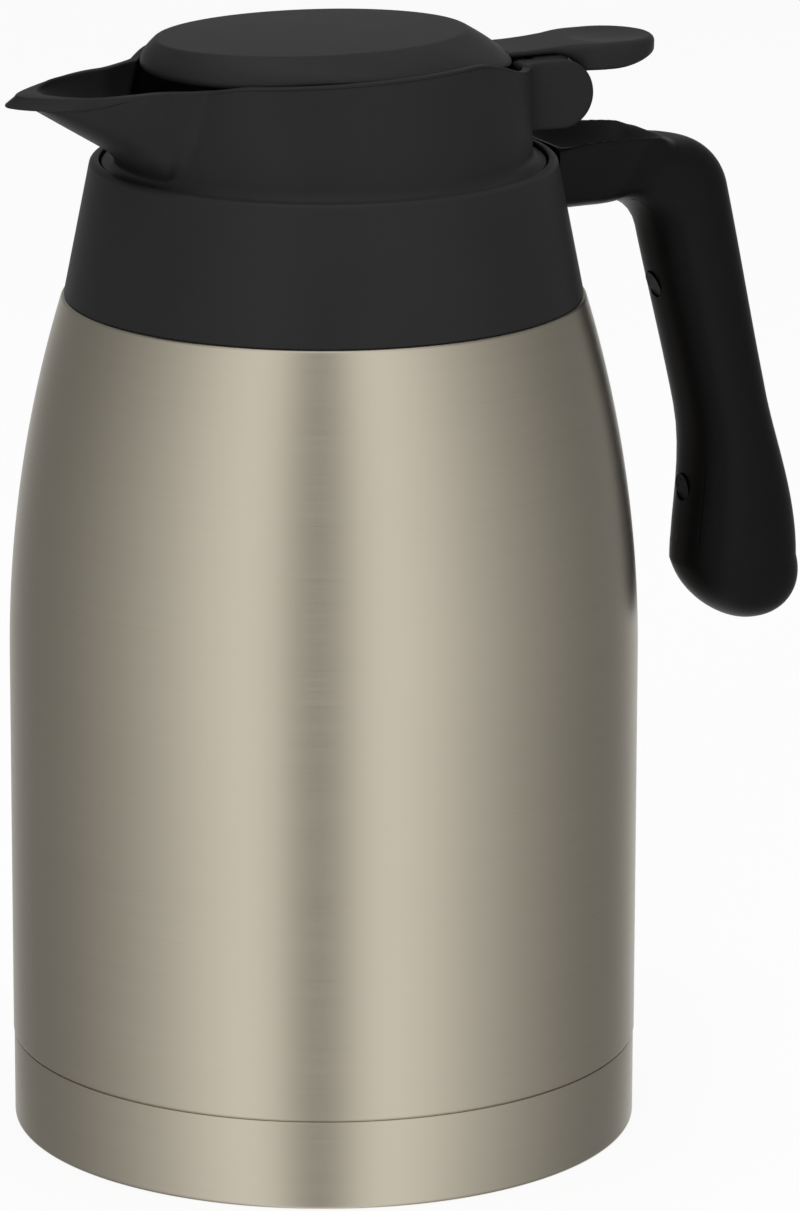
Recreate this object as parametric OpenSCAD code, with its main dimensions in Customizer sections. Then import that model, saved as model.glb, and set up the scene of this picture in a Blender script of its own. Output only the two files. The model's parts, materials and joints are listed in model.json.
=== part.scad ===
// Thermal carafe: a double-walled steel vessel with a black collar and handle,
// and a screw-in pouring stopper with a spout and a thumb-lever flip lid.
// Frame: the origin is the centre of the foot, +Z is up, +X is the handle and
// -X is the spout. Sizes are in millimetres.

/* [Steel body] */
// Outer radius of the straight part of the body
body_r = 65.1; // [60:0.1:70]
// Height of the straight wall, measured from the table
straight_h = 100; // [80:1:130]
// Height of the curved shoulder above the straight wall
shoulder_h = 76; // [60:1:90]
// Radius of the shoulder at the flat ledge, where its long curve ends
ledge_r = 53.7; // [52:0.1:58]
// Radius of the small edge between the shoulder and its flat ledge
ledge_edge_r = 0.8; // [0.7:0.1:1.5]
// Height of the welded base cup's band
base_band_h = 18.8; // [14:0.2:26]
// How far the base band stands inside the body's surface
base_inset = 0.15; // [0.05:0.05:0.4]
// Height of the fine groove above the base band
seam_groove = 0.35; // [0.2:0.05:0.8]
// Radius of the base band's lower edge
base_edge_r = 1.1; // [0.8:0.1:2]
// Width of the flat ring that the carafe stands on
foot_w = 4; // [2.5:0.1:6]
// Height of the recess inside the foot ring
foot_recess_h = 2.4; // [1.5:0.1:4]
// Length of the base cup's collar inside the body
base_spigot_h = 5; // [3:0.5:8]
// Sheet thickness of the outer body
outer_wall = 0.6; // [0.5:0.1:0.8]
// Sheet thickness of the base cup
base_wall = 0.8; // [0.6:0.1:1]
// Gap left for the welded lap of the base cup
weld_fit = 0.02; // [0.01:0.01:0.05]

/* [Inner vessel] */
// Evacuated gap between the two walls
vacuum_gap = 6; // [4:0.5:8]
// Sheet thickness of the inner vessel
inner_wall = 0.5; // [0.4:0.1:0.7]
// Gap between the base cup and the inner vessel's floor
floor_gap = 9; // [7:0.5:12]
// Corner radius at the inner vessel's floor
floor_corner_r = 14; // [8:1:20]
// Share of the room beside the neck that the inner shoulder's curve takes
inner_shoulder_share = 0.87; // [0.5:0.01:0.92]
// Gap between the two shoulders, measured down from the ledge
top_gap = 6; // [4:0.5:8]
// Thickness of the heat-reflecting foil
foil_t = 0.12; // [0.08:0.02:0.2]
// Height of the foil wrap
foil_h = 84; // [60:1:100]
// Radius of the gas-absorbing pellet
getter_r = 5; // [4:0.5:7]
// Height of the pellet with its holder
getter_h = 2.6; // [2:0.1:3.5]
// Radius of the sealing disc over the evacuation hole
vent_r = 7; // [5:0.5:9]
// Radius of the evacuation hole under the disc
vent_hole_r = 2.5; // [1.5:0.1:3.5]
// Thickness of the sealing disc
vent_t = 1.2; // [0.8:0.1:1.6]

/* [Neck] */
// Distance of the mouth inside the collar's top edge
mouth_inset = 9.7; // [9.2:0.1:11]
// Radial gap between the two neck walls
neck_gap = 2.6; // [2:0.1:3]
// Depth of the steel lip below the collar's top
lip_drop = 14.2; // [13.2:0.1:15]
// Thickness of the neck seal when clamped
neck_seal_t = 1.2; // [0.8:0.1:1.6]
// Clearance round the threaded neck ring's flange
neck_ring_fit = 0.4; // [0.3:0.1:0.8]
// Clearance above the threaded neck ring
neck_ring_gap = 0.4; // [0.3:0.05:0.6]
// Width of the step from the mouth to the bore that the neck thread stands in
neck_ring_lap = 2.6; // [2.3:0.1:3]
// Wall of the skirt that grips the steel neck
neck_skirt_wall = 1.1; // [0.8:0.1:1.2]
// Length of that skirt below the seal
neck_skirt_h = 7; // [5:0.5:8]

/* [Thread] */
// Lead of the two-start thread, which is the lift for one full turn
thread_lead = 10; // [9:0.5:11]
// Depth of a thread ridge
thread_depth = 1.5; // [1.2:0.1:1.6]
// Height of a ridge at its root
thread_root_w = 2.2; // [1.8:0.1:2.4]
// Height of a ridge at its crest
thread_crest_w = 1.2; // [0.9:0.1:1.4]
// Length of each ridge round the neck, in degrees
thread_span = 170; // [120:10:170]
// Clearance round the thread ridges
thread_gap = 0.4; // [0.3:0.05:0.5]
// Angle from the start of a neck ridge to the start of a plug ridge
plug_thread_from = 74; // [72:1:80]
// Length of each ridge round the plug, in degrees
plug_thread_span = 100; // [80:10:100]

/* [Collar] */
// Height of the collar above the steel ledge
collar_h = 28.2; // [27.4:0.2:32]
// Distance of the collar's foot inside the shoulder's edge
collar_inset = 0.4; // [0.2:0.1:1]
// Outer radius of the collar at its top edge
collar_top_r = 47.7; // [44:0.1:51]
// Radius of the collar's rounded top edge, outside
collar_edge_r = 1.3; // [0.8:0.1:1.5]
// Wall thickness of the collar's skirt
collar_wall = 2.2; // [1.8:0.1:3]
// Width of the collar's top edge round the recess that the stopper sits in
recess_edge_w = 1.8; // [1.6:0.1:2.2]
// Height of the recess's floor above the neck seal
recess_step = 0.8; // [0.4:0.1:1.2]
// Thickness of the collar's web round the steel neck
web_t = 3; // [2:0.2:4]
// Clearance between the collar's web and the steel neck
neck_fit = 0.3; // [0.2:0.05:0.4]

/* [Handle] */
// Width of the handle where it leaves the collar
arm_w = 25; // [22:0.5:27]
// Height of the handle's arm
arm_h = 14; // [12.5:0.5:15]
// Distance of the arm's top below the collar's top
arm_drop = 0.2; // [0.1:0.1:1]
// Distance from the collar's top edge to the centre of the inner bend
arm_l = 15.5; // [14:0.1:18]
// Radius of the handle's inner bend
bend_in_r = 10.2; // [8:0.2:11]
// Radius of the handle's outer corner
bend_out_r = 12.8; // [11:0.2:14]
// How much the arm's top sinks behind the thumb dish
ridge_drop = 1.8; // [1:0.1:2.5]
// Lean of the grip below the bend, in degrees from upright
grip_lean = 13; // [10:0.5:16]
// Length of the grip along its middle line, below the bend
grip_l = 92.5; // [84:0.5:104]
// Shift of the grip's lowest point toward the palm
end_shift = 4; // [0:0.5:6]
// Width of the grip
grip_w = 20.6; // [18:0.2:24]
// Depth of the grip, from palm to fingers
grip_d = 20; // [18:0.2:24]
// How much the grip's depth narrows toward its middle
grip_waist = 1.2; // [0:0.1:2]
// Width of the bulb at the grip's end
bulb_w = 22; // [20:0.5:26]
// Depth of the bulb at the grip's end
bulb_d = 27.4; // [24:0.2:30]
// Wall thickness of the handle's shell
handle_wall = 2.6; // [2:0.1:3]
// Thickness of the cover that closes the handle's inner side
cover_t = 2.4; // [2:0.1:3]
// Clearance round the cover
cover_fit = 0.15; // [0.1:0.05:0.3]
// Width of the handle's cover
cover_w = 13; // [11:0.5:14]
// Length of the thumb dish in the arm's top
dish_l = 25; // [22:0.5:26]
// Width of the thumb dish
dish_w = 21.6; // [20.8:0.2:22]
// Depth of the thumb dish
dish_depth = 4; // [3:0.2:4.5]
// Distance of the thumb dish's middle beyond the centre of the inner bend
dish_shift = 0.8; // [0:0.1:1.5]
// Shank radius of the two cover screws
screw_r = 1.5; // [1.2:0.1:1.8]
// Head radius of the two cover screws
screw_head_r = 2.8; // [2.4:0.1:3.2]
// Head height of the two cover screws
screw_head_h = 1.6; // [1.2:0.1:1.8]
// Length of the two cover screws under the head
screw_l = 8; // [6:0.5:10]

/* [Stopper] */
// Clearance round the stopper's flange in the collar's recess
flange_fit = 0.5; // [0.3:0.1:0.8]
// Height of the flange's edge below the collar's top
flange_drop = 0.6; // [0.4:0.1:1]
// Thickness of the stopper's round flange
flange_t = 2.2; // [1.8:0.1:2.6]
// Radius of the hollow where the wall grows out of the flange
flare_r = 2.2; // [1:0.1:3]
// Height of the oval rim above the collar's top, at the middle
rim_h = 22.1; // [20:0.1:24]
// Rise of the rim toward the handle, in millimetres for each millimetre
rim_slope = 0.035; // [0:0.005:0.05]
// Distance of the oval rim inside the flange, along the pouring direction
rim_inset = 2.9; // [2.8:0.1:4]
// How much the oval rim is narrower than long, on each side
rim_narrow = 7; // [6:0.1:8]
// Shift of the oval rim toward the handle
rim_x = 1; // [0:0.2:2]
// Wall thickness of the stopper's bowl
bowl_wall = 1.8; // [1.4:0.1:2.4]
// Height of the bowl's floor above the collar's top
bowl_floor_h = 4.8; // [4:0.2:5.6]
// Thickness of the plug's plate under the flange
plug_cap_t = 1.4; // [1.2:0.1:1.8]
// Thickness of the bowl's floor
bowl_floor_t = 2.2; // [1.8:0.1:2.6]
// Drop of the rim on the handle's side, under the lever
rear_drop = 5.6; // [4.6:0.1:6]

/* [Spout] */
// Length of the spout beyond the oval rim
spout_l = 27.5; // [24:0.5:33]
// Half width of the spout where it leaves the rim
spout_root_w = 19; // [16:0.5:21]
// Half width of the spout between the rim and the lip
spout_w = 15.2; // [13:0.2:17]
// Depth of the spout's edge below the rim
spout_drop = 2.5; // [1.6:0.1:3.4]
// How much that edge falls toward the tip
spout_dip = 1.3; // [0:0.1:2]
// Thickness of the lip at the tip
lip_t = 2.1; // [1.6:0.1:2.6]
// Slope of the spout's keel
keel_slope = 0.66; // [0.6:0.01:0.75]
// Wall thickness of the spout's channel
channel_wall = 1.8; // [1.4:0.1:2.2]

/* [Lid hinge] */
// Distance of the hinge pin beyond the oval rim
hinge_out = 5.5; // [4.8:0.1:6.2]
// Depth of the hinge pin below the rim
hinge_drop = 11; // [10.4:0.1:11.2]
// Radius of the hinge ears
ear_r = 7.2; // [6.8:0.1:7.6]
// Thickness of each hinge ear
ear_t = 5.4; // [4.6:0.1:5.8]
// Width of the lever's neck between the ears
neck_w = 15; // [13:0.2:15.4]
// Clearance between the lever's neck and each ear
ear_gap = 0.35; // [0.3:0.05:0.5]
// Radius of the hinge pin
pin_r = 1.5; // [1.2:0.1:1.8]
// Running clearance of the lever on the pin
pin_fit = 0.05; // [0.03:0.01:0.08]
// Radius of the lever's boss round the pin
boss_r = 4.2; // [3.6:0.1:4.3]
// Wire radius of the lid's return spring
spring_wire_r = 0.45; // [0.35:0.05:0.55]
// Number of turns in the return spring
spring_turns = 3; // [2:1:4]

/* [Lid] */
// Distance of the lid's lower edge inside the oval rim, at the ends
lid_inset = 3.2; // [3:0.1:4]
// Distance of the lid's lower edge inside the oval rim, at the sides
lid_side_inset = 2.5; // [2.3:0.1:3.5]
// Width of the sloping band round the lid's flat top, at the ends
lid_band_w = 6.4; // [5:0.1:8]
// Width of that band at the sides
lid_side_band_w = 8; // [6:0.1:10]
// Shift of the lid's lower edge toward the handle
lid_x = 0.9; // [0.4:0.1:1.4]
// Shift of the lid's flat top toward the spout
lid_top_x = 2.8; // [1:0.1:4]
// Height of the lid's flat top above the rim
lid_rise = 3.9; // [3.4:0.1:6]
// Crown of the lid's top in its middle
lid_crown = 0.3; // [0.2:0.1:1]
// How deep the lid's lower edge sits in the stopper's rim, at the middle
lid_sink = 0.9; // [0.4:0.1:1.2]
// Drop of the lid's lower edge on the handle's side
lid_rear_drop = 2.7; // [2:0.1:3]
// Wall thickness of the lid
lid_wall = 2; // [1.6:0.1:2.4]

/* [Lever] */
// Length of the lever from the hinge pin to its tip
lever_l = 26.3; // [24:0.1:27]
// Depth of the lever's top below the rim
lever_drop = 1.7; // [1.2:0.1:2]
// Half width of the lever's paddle
lever_w = 10.5; // [9:0.1:10.8]
// Thickness of the lever's paddle under the thumb
lever_t = 5.6; // [4.8:0.1:5.8]
// Thickness of the lever at its tip
lever_tip_t = 3.8; // [3:0.1:4.4]

/* [Pour passage and seals] */
// Inner radius of the pour passage through the stopper
pour_r = 17; // [14:0.5:19]
// Wall thickness of the pour passage
pour_wall = 2; // [1.6:0.1:2.4]
// Height of the sealing seat above the bowl's floor
seat_h = 2; // [1.4:0.1:2.6]
// Clearance of the stopper's nose in the mouth
nose_fit = 1.4; // [1:0.1:2]
// Length of the nose below the steel lip
nose_l = 13; // [11:0.5:15]
// Wall thickness of the stopper's nose
nose_wall = 2.2; // [1.8:0.1:2.6]
// Height of the stopper gasket
gasket_h = 5; // [4:0.2:6]
// Gap between the gasket's lip and the mouth
gasket_gap = 0.06; // [0.03:0.01:0.1]
// Thickness of the lid's disc seal
lid_seal_t = 2.4; // [2:0.1:3]
// Clearance under the lid's disc seal
seal_gap = 0.1; // [0.05:0.05:0.2]
// Thickness of the insulating puck in the lid
puck_t = 5; // [3:0.5:6]
// Width of the hub that presses on the seal, outside the pour passage's wall
hub_w = 2.5; // [2:0.1:3]
// Thickness of the plate under the lid
liner_t = 1.6; // [1.2:0.1:2]
// Clearance of that plate inside the lid
liner_fit = 0.4; // [0.3:0.05:0.6]

/* [Hidden] */
$fn = 96;

black = "#262626";
steel = "#a89f8e";
cut = 1;

// Levels, from the table up
ledge_z = straight_h + shoulder_h;
seam_z = base_band_h;
floor_z = foot_recess_h + base_wall + floor_gap;
collar_top_z = ledge_z + collar_h;
lip_z = collar_top_z - lip_drop;
ring_z = lip_z + neck_seal_t;
recess_z = ring_z + recess_step;
flange_z = collar_top_z - flange_drop;
ring_top_z = flange_z - flange_t - plug_cap_t - neck_ring_gap;
bowl_z = collar_top_z + bowl_floor_h;
seat_z = bowl_z + seat_h;
rim_z = collar_top_z + rim_h;
spout_z = rim_z - spout_drop;
hinge_z = rim_z - hinge_drop;
lid_z = rim_z - lid_sink;
lid_top_z = rim_z + lid_rise;
lever_z = rim_z - lever_drop;
arm_z = collar_top_z - arm_drop;
nose_z = lip_z - nose_l;

// Radii that other pieces share, from the collar's top edge inwards
recess_r = collar_top_r - recess_edge_w;
flange_r = recess_r - flange_fit;
neck_ring_r = recess_r - neck_ring_fit;
mouth_r = collar_top_r - mouth_inset;
neck_ring_bore_r = mouth_r + neck_ring_lap;
nose_r = mouth_r - nose_fit;
neck_out_r = mouth_r + inner_wall + neck_gap + outer_wall;
collar_r = ledge_r - collar_inset;
pour_out_r = pour_r + pour_wall;
hub_r = pour_out_r + hub_w;

// The shoulder's long curve: it leaves the straight wall upright and passes
// through the ledge's edge
shoulder_in = body_r - ledge_r;
shoulder_curve_r = (shoulder_in * shoulder_in + shoulder_h * shoulder_h) / (2 * shoulder_in);

// Half lengths and half widths of the ovals, and places along the handle's side
rim_a = flange_r - rim_inset;
rim_b = rim_a - rim_narrow;
lid_a = rim_a - lid_inset;
lid_b = rim_b - lid_side_inset;
lid_top_a = lid_a - lid_band_w;
lid_top_b = lid_b - lid_side_band_w;
hinge_x = rim_a + hinge_out;
lever_tip_x = hinge_x + lever_l;
spout_tip_x = rim_a + spout_l;
corner_x = collar_top_r + arm_l;
dish_x = corner_x + dish_shift;
ear_in_y = neck_w / 2 + ear_gap;
ear_out_y = ear_in_y + ear_t;

// Points on a round stretch, from angle a0 to a1
function arc(cx, cz, r, a0, a1, n) =
    [for (i = [0:n]) [cx + r * cos(a0 + (a1 - a0) * i / n), cz + r * sin(a0 + (a1 - a0) * i / n)]];

// The carafe's side at a depth `off` under the outer surface: straight wall,
// long shoulder curve, small edge of radius e and flat top at height top_z
function shoulder_line(off, top_z, e, n) =
    let (
        big = shoulder_curve_r - off,
        cr = body_r - shoulder_curve_r,
        a = asin((top_z - e - straight_h) / (big - e)),
        er = cr + (big - e) * cos(a),
        ez = top_z - e
    )
    concat(arc(cr, straight_h, big, 0, a, n), arc(er, ez, e, a, 90, 5));

// Radius of that side at a height z on the long curve
function shoulder_r(off, z) =
    body_r - shoulder_curve_r + sqrt(pow(shoulder_curve_r - off, 2) - pow(z - straight_h, 2));

// A closed solid through rings of points that run counter-clockwise from above
module loft(rings) {
    n = len(rings[0]);
    m = len(rings);
    middle = [for (r = [rings[0], rings[m - 1]]) [for (k = [0:2]) sum([for (p = r) p[k]]) / n]];
    sides = [
        for (i = [0:m - 2], j = [0:n - 1])
            let (a = i * n + j, b = i * n + (j + 1) % n, c = b + n, d = a + n)
                each [[a, d, c], [a, c, b]]
    ];
    floor_fan = [for (j = [0:n - 1]) [m * n, j, (j + 1) % n]];
    top_fan = [for (j = [0:n - 1]) [m * n + 1, (m - 1) * n + (j + 1) % n, (m - 1) * n + j]];
    polyhedron(points = concat([for (r = rings) each r], middle), faces = concat(sides, floor_fan, top_fan));
}

function sum(v, i = 0) = i < len(v) ? v[i] + sum(v, i + 1) : 0;
function mix(a, b, t) = a + (b - a) * t;
function clamp01(t) = min(1, max(0, t));
function smooth(t) = let (u = clamp01(t)) u * u * (3 - 2 * u);

// ---------- Steel body ----------

module outer_shell() {
    inner_e = ledge_edge_r - outer_wall;
    throat = neck_out_r - outer_wall;
    color(steel) rotate_extrude() polygon(concat(
        [[body_r, seam_z + seam_groove]],
        shoulder_line(0, ledge_z, ledge_edge_r, 20),
        [[neck_out_r, ledge_z], [neck_out_r, lip_z], [mouth_r, lip_z],
         [mouth_r, lip_z - outer_wall], [throat, lip_z - outer_wall], [throat, ledge_z - outer_wall]],
        reverse(shoulder_line(outer_wall, ledge_z - outer_wall, inner_e, 20)),
        [[body_r - outer_wall, seam_z + seam_groove]]
    ));
}

function reverse(v) = [for (i = [len(v) - 1:-1:0]) v[i]];

module base_shell() {
    band_r = body_r - base_inset;
    spigot_r = body_r - outer_wall - weld_fit;
    edge_x = band_r - base_edge_r;
    foot_in_r = edge_x - foot_w;
    recess_r_in = foot_in_r - foot_recess_h;
    well_z = foot_recess_h + base_wall;
    color(steel) rotate_extrude() polygon(concat(
        [[band_r, seam_z]],
        reverse(arc(edge_x, base_edge_r, base_edge_r, -90, 0, 6)),
        [[foot_in_r, 0], [recess_r_in, foot_recess_h], [vent_r + weld_fit, foot_recess_h],
         [vent_r + weld_fit, well_z], [vent_hole_r, well_z], [vent_hole_r, well_z + base_wall],
         [vent_r + base_wall, well_z + base_wall], [vent_r + 2 * base_wall, well_z],
         [recess_r_in, well_z], [foot_in_r, base_wall],
         [edge_x, base_wall]],
        arc(edge_x, base_edge_r, base_edge_r - base_wall, -90, 0, 6),
        [[band_r - base_wall, seam_z - 2 * base_wall], [spigot_r - base_wall, seam_z - base_wall],
         [spigot_r - base_wall, seam_z + base_spigot_h], [spigot_r, seam_z + base_spigot_h],
         [spigot_r, seam_z]]
    ));
}

// Depth of the inner vessel under the surface of the body
function vessel_off() = outer_wall + vacuum_gap;

module inner_vessel() {
    off = vessel_off();
    off_in = off + inner_wall;
    top_z = ledge_z - outer_wall - top_gap;
    out_r = body_r - off;
    neck_r = mouth_r + inner_wall;
    bend_r = inner_shoulder_share * (shoulder_r(off, top_z) - neck_r);
    corner_x0 = out_r - floor_corner_r;
    corner_z = floor_z + floor_corner_r;
    color("#c9c9c6") rotate_extrude() polygon(concat(
        [[0, floor_z]],
        arc(corner_x0, corner_z, floor_corner_r, -90, 0, 8),
        shoulder_line(off, top_z, bend_r, 16),
        [[neck_r, top_z], [neck_r, lip_z - outer_wall], [mouth_r, lip_z - outer_wall],
         [mouth_r, top_z - inner_wall]],
        reverse(shoulder_line(off_in, top_z - inner_wall, bend_r - inner_wall, 16)),
        reverse(arc(corner_x0, corner_z, floor_corner_r - inner_wall, -90, 0, 8)),
        [[0, floor_z + inner_wall]]
    ));
}

module tube(r_in, r_out, z0, z1) {
    translate([0, 0, z0]) difference() {
        cylinder(r = r_out, h = z1 - z0);
        translate([0, 0, -cut]) cylinder(r = r_in, h = z1 - z0 + 2 * cut);
    }
}

module vacuum_foil() {
    r = body_r - vessel_off();
    z0 = straight_h - foil_h + floor_corner_r;
    color("#b87333") tube(r, r + foil_t, max(z0, floor_z + floor_corner_r), straight_h);
}

module getter() {
    color("#707070") translate([0, 0, floor_z - getter_h]) cylinder(r = getter_r, h = getter_h);
}

module vent_seal() {
    color("#8c8c88") translate([0, 0, foot_recess_h + base_wall - vent_t])
        cylinder(r = vent_r, h = vent_t);
}

// ---------- Neck, collar and thread ----------

thread_bed = 1;

// One thread ridge, wound round the axis with its root at radius r, standing
// out by depth (inwards if depth is negative), with its middle starting at z
module ridge(r, depth, z, start, span) {
    n = ceil(span / 10);
    foot = sign(depth) * thread_bed;
    section = [[r - foot, -thread_root_w / 2], [r + depth, -thread_crest_w / 2],
               [r + depth, thread_crest_w / 2], [r - foot, thread_root_w / 2]];
    turned = depth > 0 ? reverse(section) : section;
    rings = [
        for (i = [0:n])
            let (a = start + span * i / n, lift = z + thread_lead * span / 360 * i / n)
                [for (p = turned) [p[0] * cos(a), p[0] * sin(a), p[1] + lift]]
    ];
    loft(rings);
}

module ridges(r, depth, z, from, span) {
    for (start = [0, 180]) ridge(r, depth, z + thread_lead * from / 360, start + from, span);
}

module neck_seal() {
    color("#d8d8d8") tube(mouth_r + inner_wall, neck_out_r, lip_z, ring_z);
}

module neck_ring() {
    skirt_in_r = neck_out_r + neck_fit / 3;
    skirt_r = skirt_in_r + neck_skirt_wall;
    color("#2e2e2e") {
        rotate_extrude() polygon([
            [neck_ring_bore_r, ring_z], [neck_ring_bore_r, ring_top_z], [neck_ring_r, ring_top_z],
            [neck_ring_r, recess_z], [skirt_r, recess_z], [skirt_r, lip_z - neck_skirt_h],
            [skirt_in_r, lip_z - neck_skirt_h], [skirt_in_r, ring_z]
        ]);
        ridges(neck_ring_bore_r, -thread_depth, thread_z, 0, thread_span);
    }
}

module collar() {
    skirt_fit_r = neck_out_r + neck_fit / 3 + neck_skirt_wall + neck_fit;
    edge_z = collar_top_z - collar_edge_r;
    edge_x = collar_top_r - collar_edge_r;
    inside_r = collar_r - collar_wall;
    color(black) rotate_extrude() polygon(concat(
        [[collar_r, ledge_z]],
        arc(edge_x, edge_z, collar_edge_r, 0, 90, 6),
        [[recess_r + 0.3, collar_top_z], [recess_r, collar_top_z - 0.3], [recess_r, recess_z],
         [skirt_fit_r, recess_z], [skirt_fit_r, recess_z - web_t],
         [collar_top_r - collar_wall, recess_z - web_t], [inside_r, ledge_z + web_t],
         [neck_out_r + neck_fit, ledge_z + web_t], [neck_out_r + neck_fit, ledge_z]]
    ));
}

// ---------- Handle ----------

// The bend: centres of its inner and outer curves, each met square at grip_lean
function polar(a) = [cos(a), sin(a)];
in_c = [corner_x, arm_z - arm_h - bend_in_r];
out_cz = arm_z - ridge_drop - bend_out_r;
out_c = [corner_x + (grip_d + bend_in_r - bend_out_r - (out_cz - in_c[1]) * sin(grip_lean)) / cos(grip_lean), out_cz];
bend_in_end = in_c + bend_in_r * polar(grip_lean);
bend_out_end = out_c + bend_out_r * polar(grip_lean);
bend_tilt = atan2(bend_out_end[1] - bend_in_end[1], bend_out_end[0] - bend_in_end[0]) - grip_lean;

// Lean of the grip's middle line at a distance s below the bend
function lean(s) = grip_lean * (1 - smooth((s / grip_l - 0.39) / 0.52));

// Point on the grip's middle line after k steps
grip_n = 18;
grip_step = (grip_l - bulb_d / 2) / grip_n;
function grip_point(k) =
    k == 0
        ? (bend_in_end + bend_out_end) / 2
        : let (a = lean((k - 0.5) * grip_step)) grip_point(k - 1) + grip_step * [sin(a), -cos(a)];
function bulb_part(k) = smooth((k - grip_n * 0.55) / (grip_n * 0.45));

// Each station of the handle's side view is [inner point, outer point, half width]
arm_x0 = recess_r;
arm_stations = [
    for (i = [0:9])
        let (t = i / 9)
            [[mix(arm_x0, in_c[0], t), arm_z - arm_h],
             [mix(arm_x0, out_c[0], t), arm_z - ridge_drop * smooth((t - 0.8) / 0.16)],
             mix(arm_w, grip_w + 3, smooth(t * 1.4)) / 2 - 1.5 * smooth((t - 0.7) / 0.3)]
];
bend_stations = [
    for (i = [1:6])
        let (u = polar(mix(90, grip_lean, i / 6)))
            [in_c + bend_in_r * u, out_c + bend_out_r * u, grip_w / 2]
];
grip_stations = [
    for (k = [1:grip_n])
        let (p = grip_point(k), s = k * grip_step, tilt = bend_tilt * (1 - smooth(k / 7)),
             d = mix(grip_d - grip_waist * smooth(k / 9), bulb_d, bulb_part(k)) / 2 / cos(tilt), u = d * polar(lean(s) + tilt))
            [p - u, p + u, mix(grip_w, bulb_w, bulb_part(k)) / 2]
];
end_stations = [
    for (i = [1:6])
        let (a = 15 * i - (i == 6 ? 3 : 0), p = grip_point(grip_n), r = bulb_d / 2,
             m = p + [end_shift * sin(a), -r * sin(a)])
            [m - [r * cos(a), 0], m + [r * cos(a), 0], bulb_w / 2 * cos(a)]
];
stations = concat(arm_stations, bend_stations, grip_stations, end_stations);
arm_last = len(arm_stations) - 1;
bend_last = arm_last + len(bend_stations);

// A ring of the handle's skin: a square-edged top at e near 0, an ellipse at 1
function signed_pow(v, e) = sign(v) * pow(abs(v), e);
function skin_ring(s, top_e, low_e, n) =
    let (m = (s[0] + s[1]) / 2, h = (s[1] - s[0]) / 2)
    [for (j = [0:n - 1])
        let (a = -360 * j / n, e = cos(a) > 0 ? top_e : low_e, q = m + h * signed_pow(cos(a), e))
            [q[0], s[2] * signed_pow(sin(a), e), q[1]]];

module handle_solid() {
    loft([
        for (i = [0:len(stations) - 1])
            let (t = smooth((i - arm_last + 1.5) / 3))
                skin_ring(stations[i], mix(0.25, 0.9, t), mix(0.6, 0.9, t), 36)
    ]);
}

// A channel of width w that follows the handle's inner side from station i0 to
// i1, from `out` outside the skin to `deep` inside it; a deep of 0 leaves the
// shell's wall, and the thumb dish, over it
module channel(i0, i1, out, deep, w) {
    sides = [
        for (i = [i0:i1])
            let (s = stations[i], full = norm(s[1] - s[0]), u = (s[1] - s[0]) / full,
                 roof = handle_wall + (i <= arm_last ? dish_depth : 0))
                [s[0] - out * u, s[0] + (deep > 0 ? deep : full - roof) * u]
    ];
    translate([0, w / 2, 0]) rotate([90, 0, 0]) linear_extrude(w)
        polygon(concat([for (p = sides) p[0]], reverse([for (p = sides) p[1]])));
}

// The lower part of an ellipsoid, as a scoop
module scoop(a, b, depth) {
    loft([for (i = [0:6])
        let (q = i == 0 ? 4 : 15 * i, z = -depth * cos(q))
            [for (j = [0:35]) [a * sin(q) * cos(10 * j), b * sin(q) * sin(10 * j), z]],
        [for (j = [0:35]) [a * cos(10 * j), b * sin(10 * j), cut]]
    ]);
}

// The space that the collar's cone fills, for seating the handle on it
module collar_envelope() {
    rotate_extrude() polygon([
        [0, ledge_z - cut], [collar_r, ledge_z - cut], [collar_r, ledge_z],
        [collar_top_r, collar_top_z - collar_edge_r], [collar_top_r, collar_top_z + cut],
        [0, collar_top_z + cut]
    ]);
}

// Places a screw along the handle's own normal, with z = 0 at the cover's skin
module at_station(i) {
    s = stations[i];
    d = s[1] - s[0];
    translate([s[0][0], 0, s[0][1]]) rotate([0, 90 - atan2(d[1], d[0]), 0]) children();
}

function depth_at(i) = norm(stations[i][1] - stations[i][0]);

screw_stations = [bend_last + 3, bend_last + grip_n - 4];
cover_first = arm_last - 4;
cover_last = bend_last + grip_n - 1;
screw_seat = screw_head_h + 0.4;
boss_from = cover_t + 0.7;

module handle_shell() {
    color(black) difference() {
        union() {
            difference() {
                handle_solid();
                collar_envelope();
                channel(cover_first, cover_last, cut, 0, cover_w);
            }
            for (i = screw_stations) at_station(i)
                translate([0, 0, boss_from])
                    cylinder(r = 2 * screw_r + 0.4, h = depth_at(i) - handle_wall / 2 - boss_from);
        }
        translate([dish_x, 0, arm_z]) scoop(dish_l / 2, dish_w / 2, dish_depth);
        for (i = screw_stations) at_station(i) cylinder(r = screw_r, h = screw_seat + screw_l);
    }
}

module handle_cover() {
    color("#1f1f1f") difference() {
        intersection() {
            handle_solid();
            channel(cover_first, cover_last, cut / 2, cover_t, cover_w - 2 * cover_fit);
        }
        for (i = screw_stations) at_station(i) {
            translate([0, 0, -cut]) cylinder(r = screw_r + cover_fit, h = 2 * cover_t);
            translate([0, 0, -2 * cut]) cylinder(r = screw_head_r + cover_fit, h = screw_head_h + 2 * cut);
        }
    }
}

module screw(i) {
    color("#9a9a9a") at_station(i) {
        difference() {
            cylinder(r = screw_head_r, h = screw_head_h);
            for (a = [0, 90]) rotate([0, 0, a]) translate([-screw_head_r * 0.6, -0.4, -cut])
                cube([screw_head_r * 1.2, 0.8, screw_head_h * 0.6 + cut]);
        }
        cylinder(r = screw_r, h = screw_head_h + screw_l);
    }
}

module screw_upper() {
    screw(screw_stations[0]);
}

module screw_lower() {
    screw(screw_stations[1]);
}

// ---------- Stopper ----------

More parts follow.
